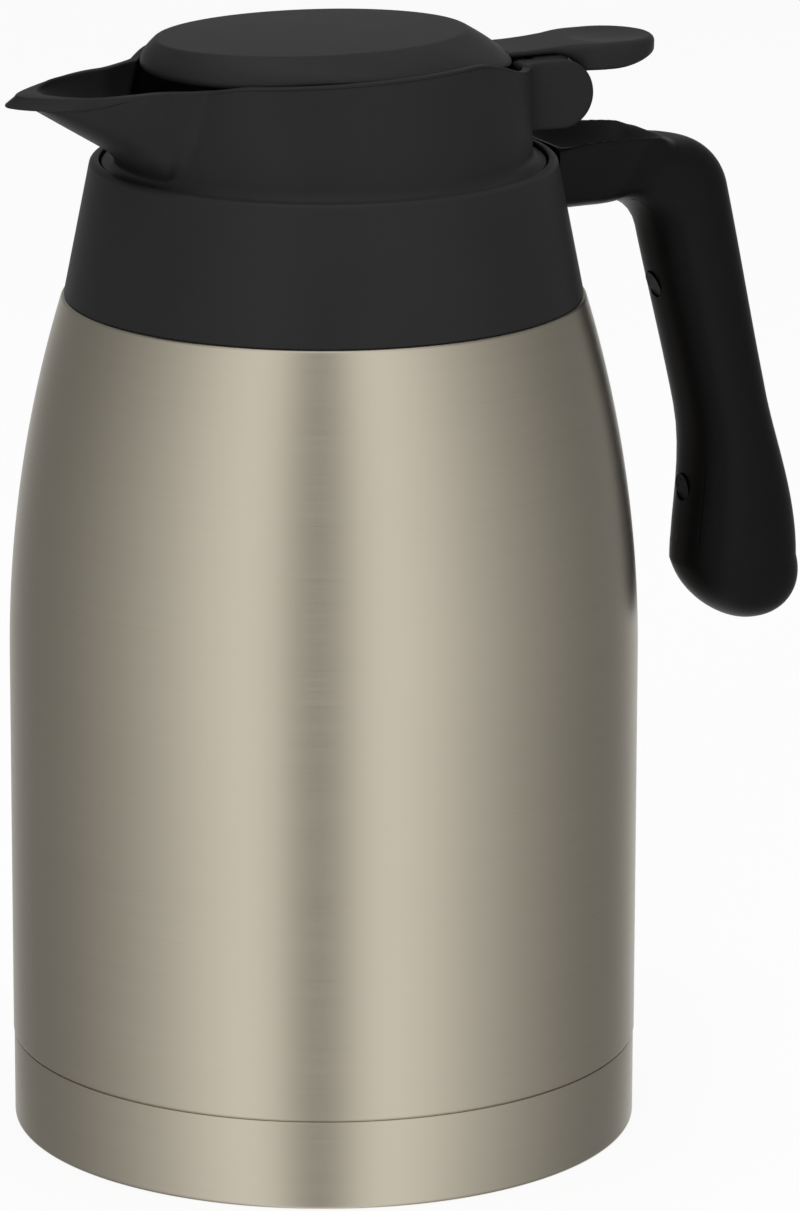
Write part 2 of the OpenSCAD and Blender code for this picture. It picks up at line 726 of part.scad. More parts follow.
// Places along the pouring direction: where the rear of the rim starts to drop,
// where its front blends into the spout, and where the spout's own shapes begin
rear_from = rim_a - 23.5;
front_from = rim_a - 14.5;
root_from = rim_a - 16.5;
dip_l = 36;

// Height of the spout's edge at a distance x in front of the body's axis
function spout_level(x) = spout_z - spout_dip * smooth((x - spout_tip_x + dip_l) / dip_l);

// Height of the rim at a place along the pouring direction; under the spout it
// stays just inside the lip
under_lip = 0.5;
function rim_level(x) =
    let (plane = rim_z + rim_slope * x - rear_drop * smooth((x - rear_from) / 21))
    mix(plane, spout_level(-x) - under_lip, smooth((-x - front_from) / 9));

// Width of the flange's flat edge outside the flare
flare_in = 0.5;

// The stopper's oval wall, moved in by `inset`, from height z0 to `over` above
// the rim
function wall_ring(inset, z0, t, over) =
    [for (j = [0:59])
        let (
            a = 6 * j,
            f = clamp01((z0 - flange_z) / (rim_z - flange_z)),
            lo = flange_r - flare_r - flare_in,
            h = clamp01((z0 - flange_z) / flare_r),
            flare = flare_r * (1 - sqrt(1 - pow(1 - h, 2))) * (inset == 0 ? 1 : 0),
            u = mix(f, 1, t),
            x = mix(0, rim_x, u) + (mix(lo, rim_a, u) + flare * (1 - t) - inset) * cos(a),
            y = (mix(lo, rim_b, u) + flare * (1 - t) - inset) * sin(a)
        )
        [x, y, mix(z0, rim_level(x) + over, t)]];

module wall_solid() {
    foot_z = flange_z - flange_t / 2;
    foot_ring = [for (p = wall_ring(0, flange_z + flare_r, 0, 0)) [p[0], p[1], foot_z]];
    loft(concat(
        [foot_ring, wall_ring(0, flange_z - flare_in / 2, 0, 0)],
        [for (i = [1:4]) wall_ring(0, flange_z + flare_r * (1 - cos(18 * i)), 0, 0)],
        [for (i = [0:5]) wall_ring(0, flange_z + flare_r, i / 5, 0)]
    ));
}

module bowl_space() {
    loft([for (i = [0:4]) wall_ring(bowl_wall, bowl_z, i / 4, i == 4 ? 3 : 0)]);
}

// Half width of the spout at a distance x from the body's axis
spout_from = rim_a + 1.5;
function spout_half(x) =
    let (u = clamp01((x - spout_from) / (spout_tip_x - spout_from)))
    spout_w * pow(1 - pow(u, 1.6), 1 / 1.6)
    + (spout_root_w - spout_w) * smooth((spout_from - x) / 10);

// Depth of the keel and of the channel under the spout's edge
function keel_depth(x) = min(spout_z - flange_z - 1.5, max(0.05, keel_slope * (spout_tip_x - 4.6 - x)));
function channel_depth(x) =
    min(spout_z - bowl_z, 0.1 * (spout_tip_x - x) + keel_slope * max(0, spout_tip_x - 8.5 - x));

// One slice across the spout, ordered for a loft that runs toward the tip; the
// lip's edge is thickest at the tip and runs out toward the rim
lip_under = 0.25;
function lip_depth(x) = mix(0.4, lip_t, smooth((x - spout_from) / 16));
function hull_slice(x) =
    let (w = max(0.3, spout_half(x)), step = 1.1 * smooth((x - spout_tip_x + 19) / 10) * min(1, w / 4),
         wh = w - step,
         z = spout_level(x), lip = lip_depth(x), d = keel_depth(x) + lip_t - lip,
         e = mix(0.45, 1, clamp01((x - spout_tip_x + 27) / 15)))
    concat(
        [[-x, -w, z], [-x, w, z], [-x, w, z - lip]],
        [for (i = [0:12]) let (a = 15 * i)
            [-x, wh * cos(a), z - lip - lip_under - d * pow(abs(sin(a)), e)]],
        [[-x, -w, z - lip]]
    );

module spout_solid() {
    tip_from = spout_tip_x - 8;
    loft(concat([for (i = [0:12]) hull_slice(mix(root_from, tip_from, i / 12))],
                [for (i = [1:6]) hull_slice(mix(tip_from, spout_tip_x, sin(15 * i)))]));
}

channel_end = spout_tip_x - 7.5;
function channel_slice(x) =
    let (z = spout_level(x), d = channel_depth(x),
         w = max(0.4, (spout_half(x) - channel_wall) * sqrt(1 - pow(clamp01((x - channel_end + 9) / 9.3), 2))))
    concat(
        [[-x, -w, z + 3], [-x, w, z + 3]],
        [for (i = [0:10]) let (a = 18 * i) [-x, w * cos(a), z - d * pow(abs(sin(a)), 0.8)]]
    );

module spout_channel() {
    end_from = channel_end - 8.5;
    loft(concat([for (i = [0:10]) channel_slice(mix(root_from - 2, end_from, i / 10))],
                [for (i = [1:6]) channel_slice(mix(end_from, channel_end, sin(15 * i)))]));
}

module ears() {
    x0 = rim_a - 2.5 * bowl_wall;
    for (side = [-1, 1]) {
        y0 = side > 0 ? ear_in_y : -ear_out_y;
        translate([hinge_x, y0, hinge_z]) rotate([-90, 0, 0]) cylinder(r = ear_r, h = ear_t);
        translate([x0, y0, hinge_z - ear_r]) cube([hinge_x - x0, ear_t, 2 * ear_r]);
    }
}

module stopper_body() {
    floor_under = bowl_z - bowl_floor_t;
    color(black) difference() {
        union() {
            translate([0, 0, flange_z - flange_t]) cylinder(r = flange_r, h = flange_t);
            wall_solid();
            spout_solid();
            ears();
        }
        bowl_space();
        spout_channel();
        tube(pour_out_r + bowl_wall, flange_r - flare_r - bowl_wall - 2 * flare_in, flange_z - flange_t - cut, floor_under);
        translate([0, 0, flange_z - flange_t - cut])
            cylinder(r = pour_out_r + weld_fit, h = bowl_z - flange_z + flange_t + 2 * cut);
        translate([hinge_x, -pin_half, hinge_z]) rotate([-90, 0, 0]) cylinder(r = pin_r, h = 2 * pin_half);
    }
}

pin_half = ear_out_y - 1.8;

module hinge_pin() {
    color("#b5b5b5") translate([hinge_x, -pin_half, hinge_z]) rotate([-90, 0, 0])
        cylinder(r = pin_r, h = 2 * pin_half);
}

gasket_in_r = nose_r - 1.8;
gasket_z = nose_z + 3;
core_r = neck_ring_bore_r - thread_depth - thread_gap;
thread_z = ring_z + thread_root_w / 2 + thread_gap;

module stopper_plug() {
    step_z = ring_z + thread_gap;
    cap_z = flange_z - flange_t;
    nose_in_r = nose_r - nose_wall;
    color("#1c1c1c") {
        rotate_extrude() polygon([
            [pour_r, nose_z + 1], [pour_r + 1, nose_z], [nose_r - 1, nose_z], [nose_r, nose_z + 1],
            [nose_r, gasket_z], [gasket_in_r, gasket_z],
            [gasket_in_r, gasket_z + gasket_h], [nose_r, gasket_z + gasket_h],
            [nose_r, step_z - 1.5], [core_r, step_z], [core_r, cap_z - plug_cap_t],
            [flange_r - 0.4, cap_z - plug_cap_t], [flange_r - 0.4, cap_z],
            [nose_in_r + 2, cap_z], [nose_in_r + 2, step_z + 1],
            [nose_in_r - 1.8, step_z - 2], [nose_in_r - 1.8, gasket_z - 0.6],
            [pour_out_r, gasket_z - 0.6], [pour_out_r, seat_z - 0.6], [pour_out_r - 0.6, seat_z],
            [pour_r + 0.4, seat_z], [pour_r, seat_z - 0.4]
        ]);
        ridges(core_r, thread_depth, thread_z - (thread_root_w + thread_crest_w) / 2 - thread_gap,
               plug_thread_from, plug_thread_span);
    }
}

module stopper_gasket() {
    r = mouth_r - gasket_gap;
    z = gasket_z + gasket_gap;
    h = gasket_h - 2 * gasket_gap;
    color("#e3e1da") rotate_extrude() polygon([
        [gasket_in_r + gasket_gap, z], [nose_r, z], [r, z + h * 0.3], [r, z + h * 0.45],
        [nose_r, z + h * 0.55], [nose_r, z + h * 0.7], [r - 0.4, z + h],
        [gasket_in_r + gasket_gap, z + h]
    ]);
}

// ---------- Lid ----------

function lid_ring(a, b, xc, z) =
    [for (j = [0:59]) let (q = 6 * j) [xc + a * cos(q), b * sin(q), z]];

// The band between the lid's lower edge and its flat top, a little full; the
// lower edge follows the rim down toward the handle
function lid_low(x) = lid_z - lid_rear_drop * smooth((x - rear_from) / 20);
function band_point(q, t, inset) =
    let (full = 0.4 * sin(180 * t) - inset, low = lid_low(lid_x + lid_a * cos(q)))
    [mix(lid_x, -lid_top_x, t) + (mix(lid_a, lid_top_a, t) + full) * cos(q),
     (mix(lid_b, lid_top_b, t) + full) * sin(q),
     mix(low, lid_top_z, t)];
function lid_band(t, inset) =
    [for (j = [0:59]) let (p = band_point(6 * j, t, inset)) [p[0], p[1], p[2] - inset * t]];

// The liner's outline inside the lid's hollow at a level z
function liner_ring(z) =
    [for (j = [0:59])
        let (low = lid_low(lid_x + lid_a * cos(6 * j)),
             t = clamp01((z - low) / (lid_top_z - lid_wall - low)),
             p = band_point(6 * j, t, lid_wall + liner_fit))
            [p[0], p[1], z]];

// The lid as a cup: up the hollow's inside, round the lower edge and over the top
module lid_solid() {
    loft(concat(
        [for (t = [1, 0.5, 0]) lid_band(t, lid_wall)],
        [for (i = [0:5]) lid_band(i / 5, 0)],
        [for (i = [1:4])
            let (s = 1 - i / 4.3)
                lid_ring(lid_top_a * s, lid_top_b * s, -lid_top_x, lid_top_z + lid_crown * (1 - s * s))]
    ));
}

// Half width, thickness and top of the lever at a distance x from the body's axis
function lever_half(x) = mix(neck_w / 2, lever_w, smooth((x - hinge_x) / 12));
function lever_thick(x) =
    mix(mix(1.2, lever_t, smooth((x - hinge_x - 3) / 9)), lever_tip_t, smooth((x - lever_tip_x + 13) / 13));
function lever_top(x) = lever_z - 0.7 * smooth((hinge_x + 10 - x) / 16);

// The lever: its side view and its plan, each drawn out and crossed
module lever_solid() {
    side_xs = concat([for (i = [0:12]) mix(hinge_x - 10.7, lever_tip_x - 1, i / 12)], [lever_tip_x + cut]);
    plan_xs = [for (i = [0:9]) mix(hinge_x - 11, lever_tip_x - lever_w + 0.2, i / 9)];
    tip = [for (a = [-75:15:75]) [lever_tip_x - lever_w, 0] + lever_w * polar(a)];
    intersection() {
        translate([0, lever_w + cut, 0]) rotate([90, 0, 0]) linear_extrude(2 * (lever_w + cut))
            polygon(concat([for (x = side_xs) [x, lever_top(x)]],
                           reverse([for (x = side_xs) [x, lever_top(x) - lever_thick(x)]])));
        translate([0, 0, hinge_z]) linear_extrude(lever_z - hinge_z + cut)
            polygon(concat([for (x = plan_xs) [x, -lever_half(x)]], tip,
                           reverse([for (x = plan_xs) [x, lever_half(x)]])));
    }
}

boss_w = neck_w - 0.3;
web_half = boss_r - 0.5;
spring_slot = spring_turns * 2.2 * spring_wire_r + 1.2;

module lid_cover() {
    color(black) difference() {
        union() {
            lid_solid();
            lever_solid();
            translate([hinge_x, -boss_w / 2, hinge_z]) rotate([-90, 0, 0]) cylinder(r = boss_r, h = boss_w);
            translate([hinge_x - web_half, -boss_w / 2, hinge_z])
                cube([2 * web_half, boss_w, lever_top(hinge_x) - hinge_z - 0.6]);
        }
        translate([hinge_x, -neck_w, hinge_z]) rotate([-90, 0, 0]) cylinder(r = pin_r + pin_fit, h = 2 * neck_w);
        translate([hinge_x - boss_r - cut, -spring_slot / 2, hinge_z - boss_r - cut])
            cube([2 * boss_r + 2 * cut, spring_slot, boss_r + cut + coil_r + spring_wire_r + 0.6]);
    }
}

coil_r = pin_r + spring_wire_r + 0.25;

// The return spring: a coil round the pin with a leg to the stopper's wall and
// a leg under the lever
module hinge_spring() {
    steps = spring_turns * 16;
    pitch = 2.2 * spring_wire_r;
    leg_a = coil_r + spring_wire_r + 0.3;
    wire = concat(
        [[coil_r, -spring_turns * pitch / 2, -5.5], [coil_r, -spring_turns * pitch / 2, -2.5]],
        [for (i = [0:steps]) let (a = 360 * i / 16)
            [coil_r * cos(a), -spring_turns * pitch / 2 + pitch * i / 16, coil_r * sin(a)]],
        [[coil_r, spring_turns * pitch / 2, leg_a * 0.6], [coil_r, spring_turns * pitch / 2, leg_a]]
    );
    color("#bdbdbd") translate([hinge_x, 0, hinge_z]) wire_tube(wire, spring_wire_r);
}

// A round wire through a list of points, six-sided
module wire_tube(p, r) {
    n = len(p);
    dirs = [for (i = [0:n - 1]) let (d = p[min(n - 1, i + 1)] - p[max(0, i - 1)]) d / norm(d)];
    loft([for (i = [0:n - 1])
        let (d = dirs[i], u0 = cross(d, [0, 1, 0]), u = u0 / norm(u0), v = cross(d, u))
            [for (j = [0:5]) p[i] + r * (u * cos(60 * j) + v * sin(60 * j))]]);
}

hub_z = seat_z + seal_gap + lid_seal_t;
plate_z = lid_z - 0.4;

module lid_liner() {
    color("#202020") {
        difference() {
            union() {
                loft([for (z = [plate_z, plate_z + liner_t]) liner_ring(z)]);
                translate([0, 0, hub_z]) cylinder(r = hub_r, h = plate_z - hub_z + cut);
            }
            translate([0, 0, hub_z + 1.6]) cylinder(r = hub_r - 1.6, h = rim_z - hub_z + 5);
        }
    }
}

module lid_puck() {
    color("#e8e4d8") translate([0, 0, hub_z + 1.6]) cylinder(r = hub_r - 1.7, h = puck_t);
}

module lid_seal() {
    color("#dcdad2") tube(pour_r - 1.5, hub_r - 0.5, hub_z - lid_seal_t, hub_z);
}

outer_shell();
base_shell();
inner_vessel();
vacuum_foil();
getter();
vent_seal();
neck_seal();
neck_ring();
collar();
handle_shell();
handle_cover();
screw_upper();
screw_lower();
stopper_body();
stopper_plug();
stopper_gasket();
hinge_pin();
hinge_spring();
lid_cover();
lid_liner();
lid_puck();
lid_seal();
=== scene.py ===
# %% [markdown]
# # A thermal carafe with a flip lid
# The real object is a double-walled steel vessel with a black moulded collar and
# handle, and a screw-in stopper that carries a spout and a lid on a hinge.
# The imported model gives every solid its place, so this script only dresses it: it
# works out finer skins for the pieces that show and gives each one its finish.

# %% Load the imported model
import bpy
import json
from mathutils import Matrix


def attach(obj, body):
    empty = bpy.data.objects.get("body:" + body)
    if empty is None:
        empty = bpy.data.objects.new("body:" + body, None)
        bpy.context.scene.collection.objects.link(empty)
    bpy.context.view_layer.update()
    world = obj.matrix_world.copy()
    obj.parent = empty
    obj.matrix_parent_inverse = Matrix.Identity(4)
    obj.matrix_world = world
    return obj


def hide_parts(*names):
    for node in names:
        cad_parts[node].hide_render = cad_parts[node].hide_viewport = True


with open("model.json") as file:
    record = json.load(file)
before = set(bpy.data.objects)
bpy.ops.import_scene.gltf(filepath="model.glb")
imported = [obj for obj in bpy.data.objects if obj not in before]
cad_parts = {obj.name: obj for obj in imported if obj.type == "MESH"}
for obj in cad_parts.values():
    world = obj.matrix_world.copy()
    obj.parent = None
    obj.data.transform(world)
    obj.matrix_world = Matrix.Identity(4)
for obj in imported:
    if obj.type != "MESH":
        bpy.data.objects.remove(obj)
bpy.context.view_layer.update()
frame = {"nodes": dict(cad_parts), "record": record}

import json
import math

import bmesh
import bpy
import numpy as np

nodes = frame["nodes"]
scene = bpy.context.scene

# %% [markdown]
# ## The camera
# The photograph was taken from 15 degrees above the horizon, with the spout on the left
# and turned 25 degrees toward the camera. A long lens keeps the verticals nearly
# parallel. These values were fitted to the outline of the carafe.

# %% Camera
LENS, SENSOR, SHIFT = 223.9, 36.0, 0.063
CAMERA_PLACE, CAMERA_PITCH, CAMERA_TURN = (-0.6369, -1.3658, 0.513), 75.01, -25.0

camera_data = bpy.data.cameras.new("camera")
camera_data.lens = LENS
camera_data.sensor_width = SENSOR
camera_data.shift_x = SHIFT
camera = bpy.data.objects.new("camera", camera_data)
camera.location = CAMERA_PLACE
camera.rotation_euler = (math.radians(CAMERA_PITCH), 0.0, math.radians(CAMERA_TURN))
scene.collection.objects.link(camera)
scene.camera = camera
scene.view_settings.view_transform = "Standard"
print("camera at", tuple(camera.location))

# %% [markdown]
# ## From arrays to meshes
# Every new skin is a grid of points: rows run along a profile and columns run round
# it. A grid can be closed both ways, or end in a single middle point, so no skin has
# an open edge. Working in whole arrays keeps this quick and keeps each shape a formula.

# %% Grid to mesh
MM = 0.001
JOIN_WITHIN, THIN_WITHIN = 1e-6, 1e-7


def faces_of_grid(rows, columns, loop_rows):
    """Quads that join each row to the next, with the last column joined to the first."""
    i, j = np.meshgrid(np.arange(rows if loop_rows else rows - 1), np.arange(columns),
                       indexing="ij")
    right, up = (j + 1) % columns, (i + 1) % rows
    corners = [i * columns + j, i * columns + right, up * columns + right, up * columns + j]
    return np.stack(corners, axis=-1).reshape(-1, 4)


def fan(row_start, columns, tip, outward):
    """Triangles that join one row to a single point; `outward` turns their face round."""
    j = np.arange(columns)
    here, after = row_start + j, row_start + (j + 1) % columns
    ends = [here, after] if outward else [after, here]
    return np.stack(ends + [np.full(columns, tip)], axis=-1)


def place_mesh(name, mesh, sharp):
    """A smooth piece, with edges drawn where it turns by more than `sharp` degrees."""
    mesh.shade_smooth()
    mesh.set_sharp_from_angle(angle=math.radians(sharp))
    piece = bpy.data.objects.new(name, mesh)
    scene.collection.objects.link(piece)
    return piece


def make_skin(name, grid, loop_rows=False, tips=None, sharp=40.0, merge=False):
    """A piece from a (rows, columns, 3) grid in millimetres. Two tips close the first
    and the last row, and `merge` joins points that lie in one place."""
    rows, columns, _ = grid.shape
    points, count = grid.reshape(-1, 3), rows * columns
    faces = faces_of_grid(rows, columns, loop_rows).tolist()
    if tips is not None:
        points = np.vstack([points, *tips])
        faces += fan(0, columns, count, False).tolist()
        faces += fan(count - columns, columns, count + 1, True).tolist()
    mesh = bpy.data.meshes.new(name)
    mesh.from_pydata((points * MM).tolist(), [], faces)
    if merge:
        work = bmesh.new()
        work.from_mesh(mesh)
        bmesh.ops.remove_doubles(work, verts=work.verts, dist=JOIN_WITHIN)
        bmesh.ops.dissolve_degenerate(work, edges=work.edges, dist=THIN_WITHIN)
        work.to_mesh(mesh)
        work.free()
    print(name, "has", len(mesh.polygons), "faces")
    return place_mesh(name, mesh, sharp)


def end_middles(grid):
    """The middles of the first and last rows, as tips for a skin."""
    return grid[0].mean(axis=0), grid[-1].mean(axis=0)


# %% Profiles
def mix(a, b, t):
    """The value a part t of the way from a to b."""
    return a + (b - a) * t


def smooth(t):
    """An S-curve from 0 to 1: t squared times (3 - 2 t), held flat outside."""
    u = np.clip(t, 0.0, 1.0)
    return u * u * (3 - 2 * u)


def soft_max(a, b, blend):
    """The larger of two values, rounded over a width `blend` where they are close:
    the larger one plus a quarter of the squared closeness."""
    near = np.clip(1 - np.abs(a - b) / blend, 0.0, 1.0)
    return np.maximum(a, b) + near * near * blend / 4


def arc(cx, cz, r, start, end, steps):
    """Points of a circle round (cx, cz) between two angles in degrees."""
    a = np.radians(np.linspace(start, end, steps))
    return np.stack([cx + r * np.cos(a), cz + r * np.sin(a)], axis=-1)


def rounded(corners, radii, steps):
    """A closed outline through the corners, with each one turned into an arc. The arc's
    centre lies on the corner's bisector, and its points turn evenly about that centre."""
    p = np.array(corners, float)
    r = np.broadcast_to(np.array(radii, float), len(p))[:, None]
    back, ahead = np.roll(p, 1, axis=0) - p, np.roll(p, -1, axis=0) - p
    back /= np.linalg.norm(back, axis=1, keepdims=True)
    ahead /= np.linalg.norm(ahead, axis=1, keepdims=True)
    half = np.arccos(np.clip((back * ahead).sum(axis=1, keepdims=True), -1, 1)) / 2
    middle = (back + ahead) / np.linalg.norm(back + ahead, axis=1, keepdims=True)
    centre = p + middle * r / np.sin(half)
    first, last = p + back * r / np.tan(half) - centre, p + ahead * r / np.tan(half) - centre
    turn = (np.pi - 2 * half)[:, None]
    k = np.linspace(0, 1, steps)[None, :, None]
    points = np.sin((1 - k) * turn) * first[:, None] + np.sin(k * turn) * last[:, None]
    points = points / np.sin(turn)
    return (centre[:, None] + points).reshape(-1, 2)


def revolve(name, profile, columns):
    """A closed profile of (radius, height) points turned once round the Z axis."""
    a = np.linspace(0, 2 * np.pi, columns, endpoint=False)
    r, z = profile[:, 0][:, None], profile[:, 1][:, None]
    grid = np.stack([r * np.cos(a), r * np.sin(a), z + 0 * a], axis=-1)
    return make_skin(name, grid, loop_rows=True)


# %% [markdown]
# ## Sizes
# The numbers below repeat the sizes of the solid model, in millimetres: the frame is
# the same, with the foot's centre at the origin, Z up, the handle toward +X and the
# spout toward -X.

# %% Sizes of the body and the neck
BODY_R, STRAIGHT_H, LEDGE_Z = 65.1, 100.0, 176.0
LEDGE_R, LEDGE_EDGE_R = 53.7, 0.8
SHOULDER_R = ((BODY_R - LEDGE_R) ** 2 + (LEDGE_Z - STRAIGHT_H) ** 2) / (2 * (BODY_R - LEDGE_R))
SEAM_Z, SEAM_GROOVE, SEAM_EDGE_R = 18.8, 0.35, 0.2
BASE_INSET, BASE_EDGE_R, SPIGOT_H, SPIGOT_FIT = 0.15, 1.1, 5.0, 0.02
OUTER_WALL, BASE_WALL, FOOT_W, FOOT_RECESS = 0.6, 0.8, 4.0, 2.4
VENT_R, VENT_HOLE_R, WELL_EDGE = 7.0, 2.5, 0.4
NECK_OUT_R, MOUTH_R, LIP_Z, LIP_EDGE_R = 41.7, 38.0, 190.0, 0.5
COLLAR_R, COLLAR_TOP_R, COLLAR_TOP_Z, COLLAR_EDGE_R = 53.3, 47.7, 204.2, 1.3
RECESS_R, RECESS_Z, COLLAR_WALL, WEB_T = 45.9, 192.0, 2.2, 3.0
RECESS_HOLE_R, COLLAR_HOLE_R = 43.1, 42.0
STEEL_COLUMNS, COLLAR_COLUMNS = 320, 256
FLANGE_R, FLANGE_Z, FLANGE_T = 45.4, 203.6, 2.2
BOWL_Z, RIM_Z, HINGE_X, HINGE_Z = 209.0, 226.3, 48.0, 215.3
print("shoulder radius", round(SHOULDER_R, 1), "collar top", COLLAR_TOP_Z, "rim", RIM_Z)

# %% [markdown]
# ## The steel body
# The real body is one drawn sheet: a straight wall, a long curve that draws in to a
# flat ledge, and a neck. Turning its profile round the axis is the exact shape, and
# the thin sheet has an inside too, so the profile is closed.


# %% Steel body
def shoulder(inset, top_z, edge_r):
    """The side above the straight wall: a long arc, then the small arc at the ledge,
    which meets it where both have the same direction."""
    big, cx = SHOULDER_R - inset, BODY_R - SHOULDER_R
    a = math.degrees(math.asin((top_z - edge_r - STRAIGHT_H) / (big - edge_r)))
    edge_x = cx + (big - edge_r) * math.cos(math.radians(a))
    ledge = arc(edge_x, top_z - edge_r, edge_r, a, 90, 8)
    return np.vstack([arc(cx, STRAIGHT_H, big, 0, a, 48), ledge[1:]])


wall_low = SEAM_Z + SEAM_GROOVE
throat_r = NECK_OUT_R - OUTER_WALL
straight_z = np.linspace(wall_low + 1, STRAIGHT_H - 2, 20)
body_profile = np.vstack([
    arc(BODY_R - SEAM_EDGE_R, wall_low + SEAM_EDGE_R, SEAM_EDGE_R, -90, 0, 5),
    np.stack([0 * straight_z + BODY_R, straight_z], axis=-1),
    shoulder(0, LEDGE_Z, LEDGE_EDGE_R),
    [[NECK_OUT_R, LEDGE_Z], [NECK_OUT_R, LIP_Z - LIP_EDGE_R]],
    arc(NECK_OUT_R - LIP_EDGE_R, LIP_Z - LIP_EDGE_R, LIP_EDGE_R, 10, 90, 5),
    [[MOUTH_R, LIP_Z], [MOUTH_R, LIP_Z - OUTER_WALL], [throat_r, LIP_Z - OUTER_WALL],
     [throat_r, LEDGE_Z - OUTER_WALL]],
    shoulder(OUTER_WALL, LEDGE_Z - OUTER_WALL, LEDGE_EDGE_R - OUTER_WALL)[::-1],
    [[BODY_R - OUTER_WALL, wall_low]],
])
body = revolve("steel_body", body_profile, STEEL_COLUMNS)

# %% [markdown]
# ## The base cup
# A second drawn cup closes the body from below. Its band is a hair narrower than the
# body, and the welded joint shows as one fine dark line with a bright edge under it.
# The foot is a narrow rolled ring, and the middle is sunk so that it never touches.

# %% Base cup
band_r = BODY_R - BASE_INSET
band_mid = band_r - BASE_EDGE_R
foot_in = band_mid - FOOT_W
well_r, well_z = foot_in - FOOT_RECESS, FOOT_RECESS + BASE_WALL
spigot_r = BODY_R - OUTER_WALL - SPIGOT_FIT
base_profile = np.vstack([
    arc(band_mid, BASE_EDGE_R, BASE_EDGE_R, -90, 0, 9),
    [[band_r, SEAM_Z - SEAM_EDGE_R - 0.05]],
    arc(band_r - SEAM_EDGE_R, SEAM_Z - SEAM_EDGE_R, SEAM_EDGE_R, 20, 90, 4),
    [[spigot_r, SEAM_Z], [spigot_r, SEAM_Z + SPIGOT_H],
     [spigot_r - BASE_WALL, SEAM_Z + SPIGOT_H], [spigot_r - BASE_WALL, SEAM_Z - BASE_WALL],
     [band_r - BASE_WALL, SEAM_Z - 2 * BASE_WALL]],
    arc(band_mid, BASE_EDGE_R, BASE_EDGE_R - BASE_WALL, 0, -90, 6),
    [[foot_in, BASE_WALL], [well_r, well_z], [VENT_R + 2 * BASE_WALL, well_z],
     [VENT_R + BASE_WALL, well_z + BASE_WALL], [VENT_HOLE_R, well_z + BASE_WALL],
     [VENT_HOLE_R, well_z], [VENT_R, well_z], [VENT_R, FOOT_RECESS],
     [well_r - WELL_EDGE, FOOT_RECESS], [well_r, FOOT_RECESS - 0.1], [foot_in, 0.05]],
])
base = revolve("base_cup", base_profile, STEEL_COLUMNS)

# %% [markdown]
# ## The collar
# The black collar is a moulded cone that hides the neck. Its lower edge sits on the
# steel ledge with a small radius, and its upper edge is rounder, with the recess for
# the stopper inside. One closed profile again gives both sides.

# %% Collar
collar_profile = rounded(
    [[COLLAR_R, LEDGE_Z], [COLLAR_TOP_R, COLLAR_TOP_Z], [RECESS_R, COLLAR_TOP_Z],
     [RECESS_R, RECESS_Z], [RECESS_HOLE_R, RECESS_Z], [RECESS_HOLE_R, RECESS_Z - WEB_T],
     [COLLAR_TOP_R - COLLAR_WALL, RECESS_Z - WEB_T], [COLLAR_R - COLLAR_WALL, LEDGE_Z + WEB_T],
     [COLLAR_HOLE_R, LEDGE_Z + WEB_T], [COLLAR_HOLE_R, LEDGE_Z]],
    [0.35, COLLAR_EDGE_R, 0.3, 0.3, 0.3, 0.3, 0.5, 0.5, 0.3, 0.3], steps=7)
collar = revolve("collar_ring", collar_profile, COLLAR_COLUMNS)

# %% [markdown]
# ## The handle
# The handle is a hollow moulding that leaves the collar level, turns down in one bend
# and ends in a thicker bulb. Its skin is a closed section carried along a path: at
# each station an inner point, an outer point and a half width are known, and the
# section between them is a superellipse, which is almost square on top of the arm and
# nearly round in the grip. The thumb dish is pressed into the top of the arm, and a
# channel for the cover runs along the finger side.

# %% Sizes of the handle
ARM_Z, ARM_H, ARM_W, CORNER_X, ARM_START = 204.0, 14.0, 25.0, 63.2, 0.06
BEND_IN, BEND_OUT, LEAN_DEGREES, RIDGE_DROP = 10.2, 12.8, 13.0, 1.8
RIDGE_FROM, RIDGE_OVER = 0.8, 0.16
ARM_SPARE, ARM_TAPER, ARM_TUCK, TUCK_FROM = 3.0, 1.4, 1.5, 0.7
GRIP_L, GRIP_W, GRIP_D, GRIP_WAIST, WAIST_OVER = 92.5, 20.6, 20.0, 1.2, 9.0
LEAN_UNTIL, LEAN_FADE, TILT_OVER = 0.39, 0.52, 7.0
BULB_W, BULB_D, BULB_FROM, END_SHIFT, GRIP_STEPS = 22.0, 27.4, 0.55, 4.0, 18
LEAN = math.radians(LEAN_DEGREES)


# %% Stations along the handle
def direction(a):
    """Unit vector in the side view at angle a, in radians."""
    return np.stack([np.cos(a), np.sin(a)], axis=-1)


def lean_at(share):
    """The grip's lean at a share of its length, which fades toward the bulb."""
    return LEAN * (1 - smooth((share - LEAN_UNTIL) / LEAN_FADE))


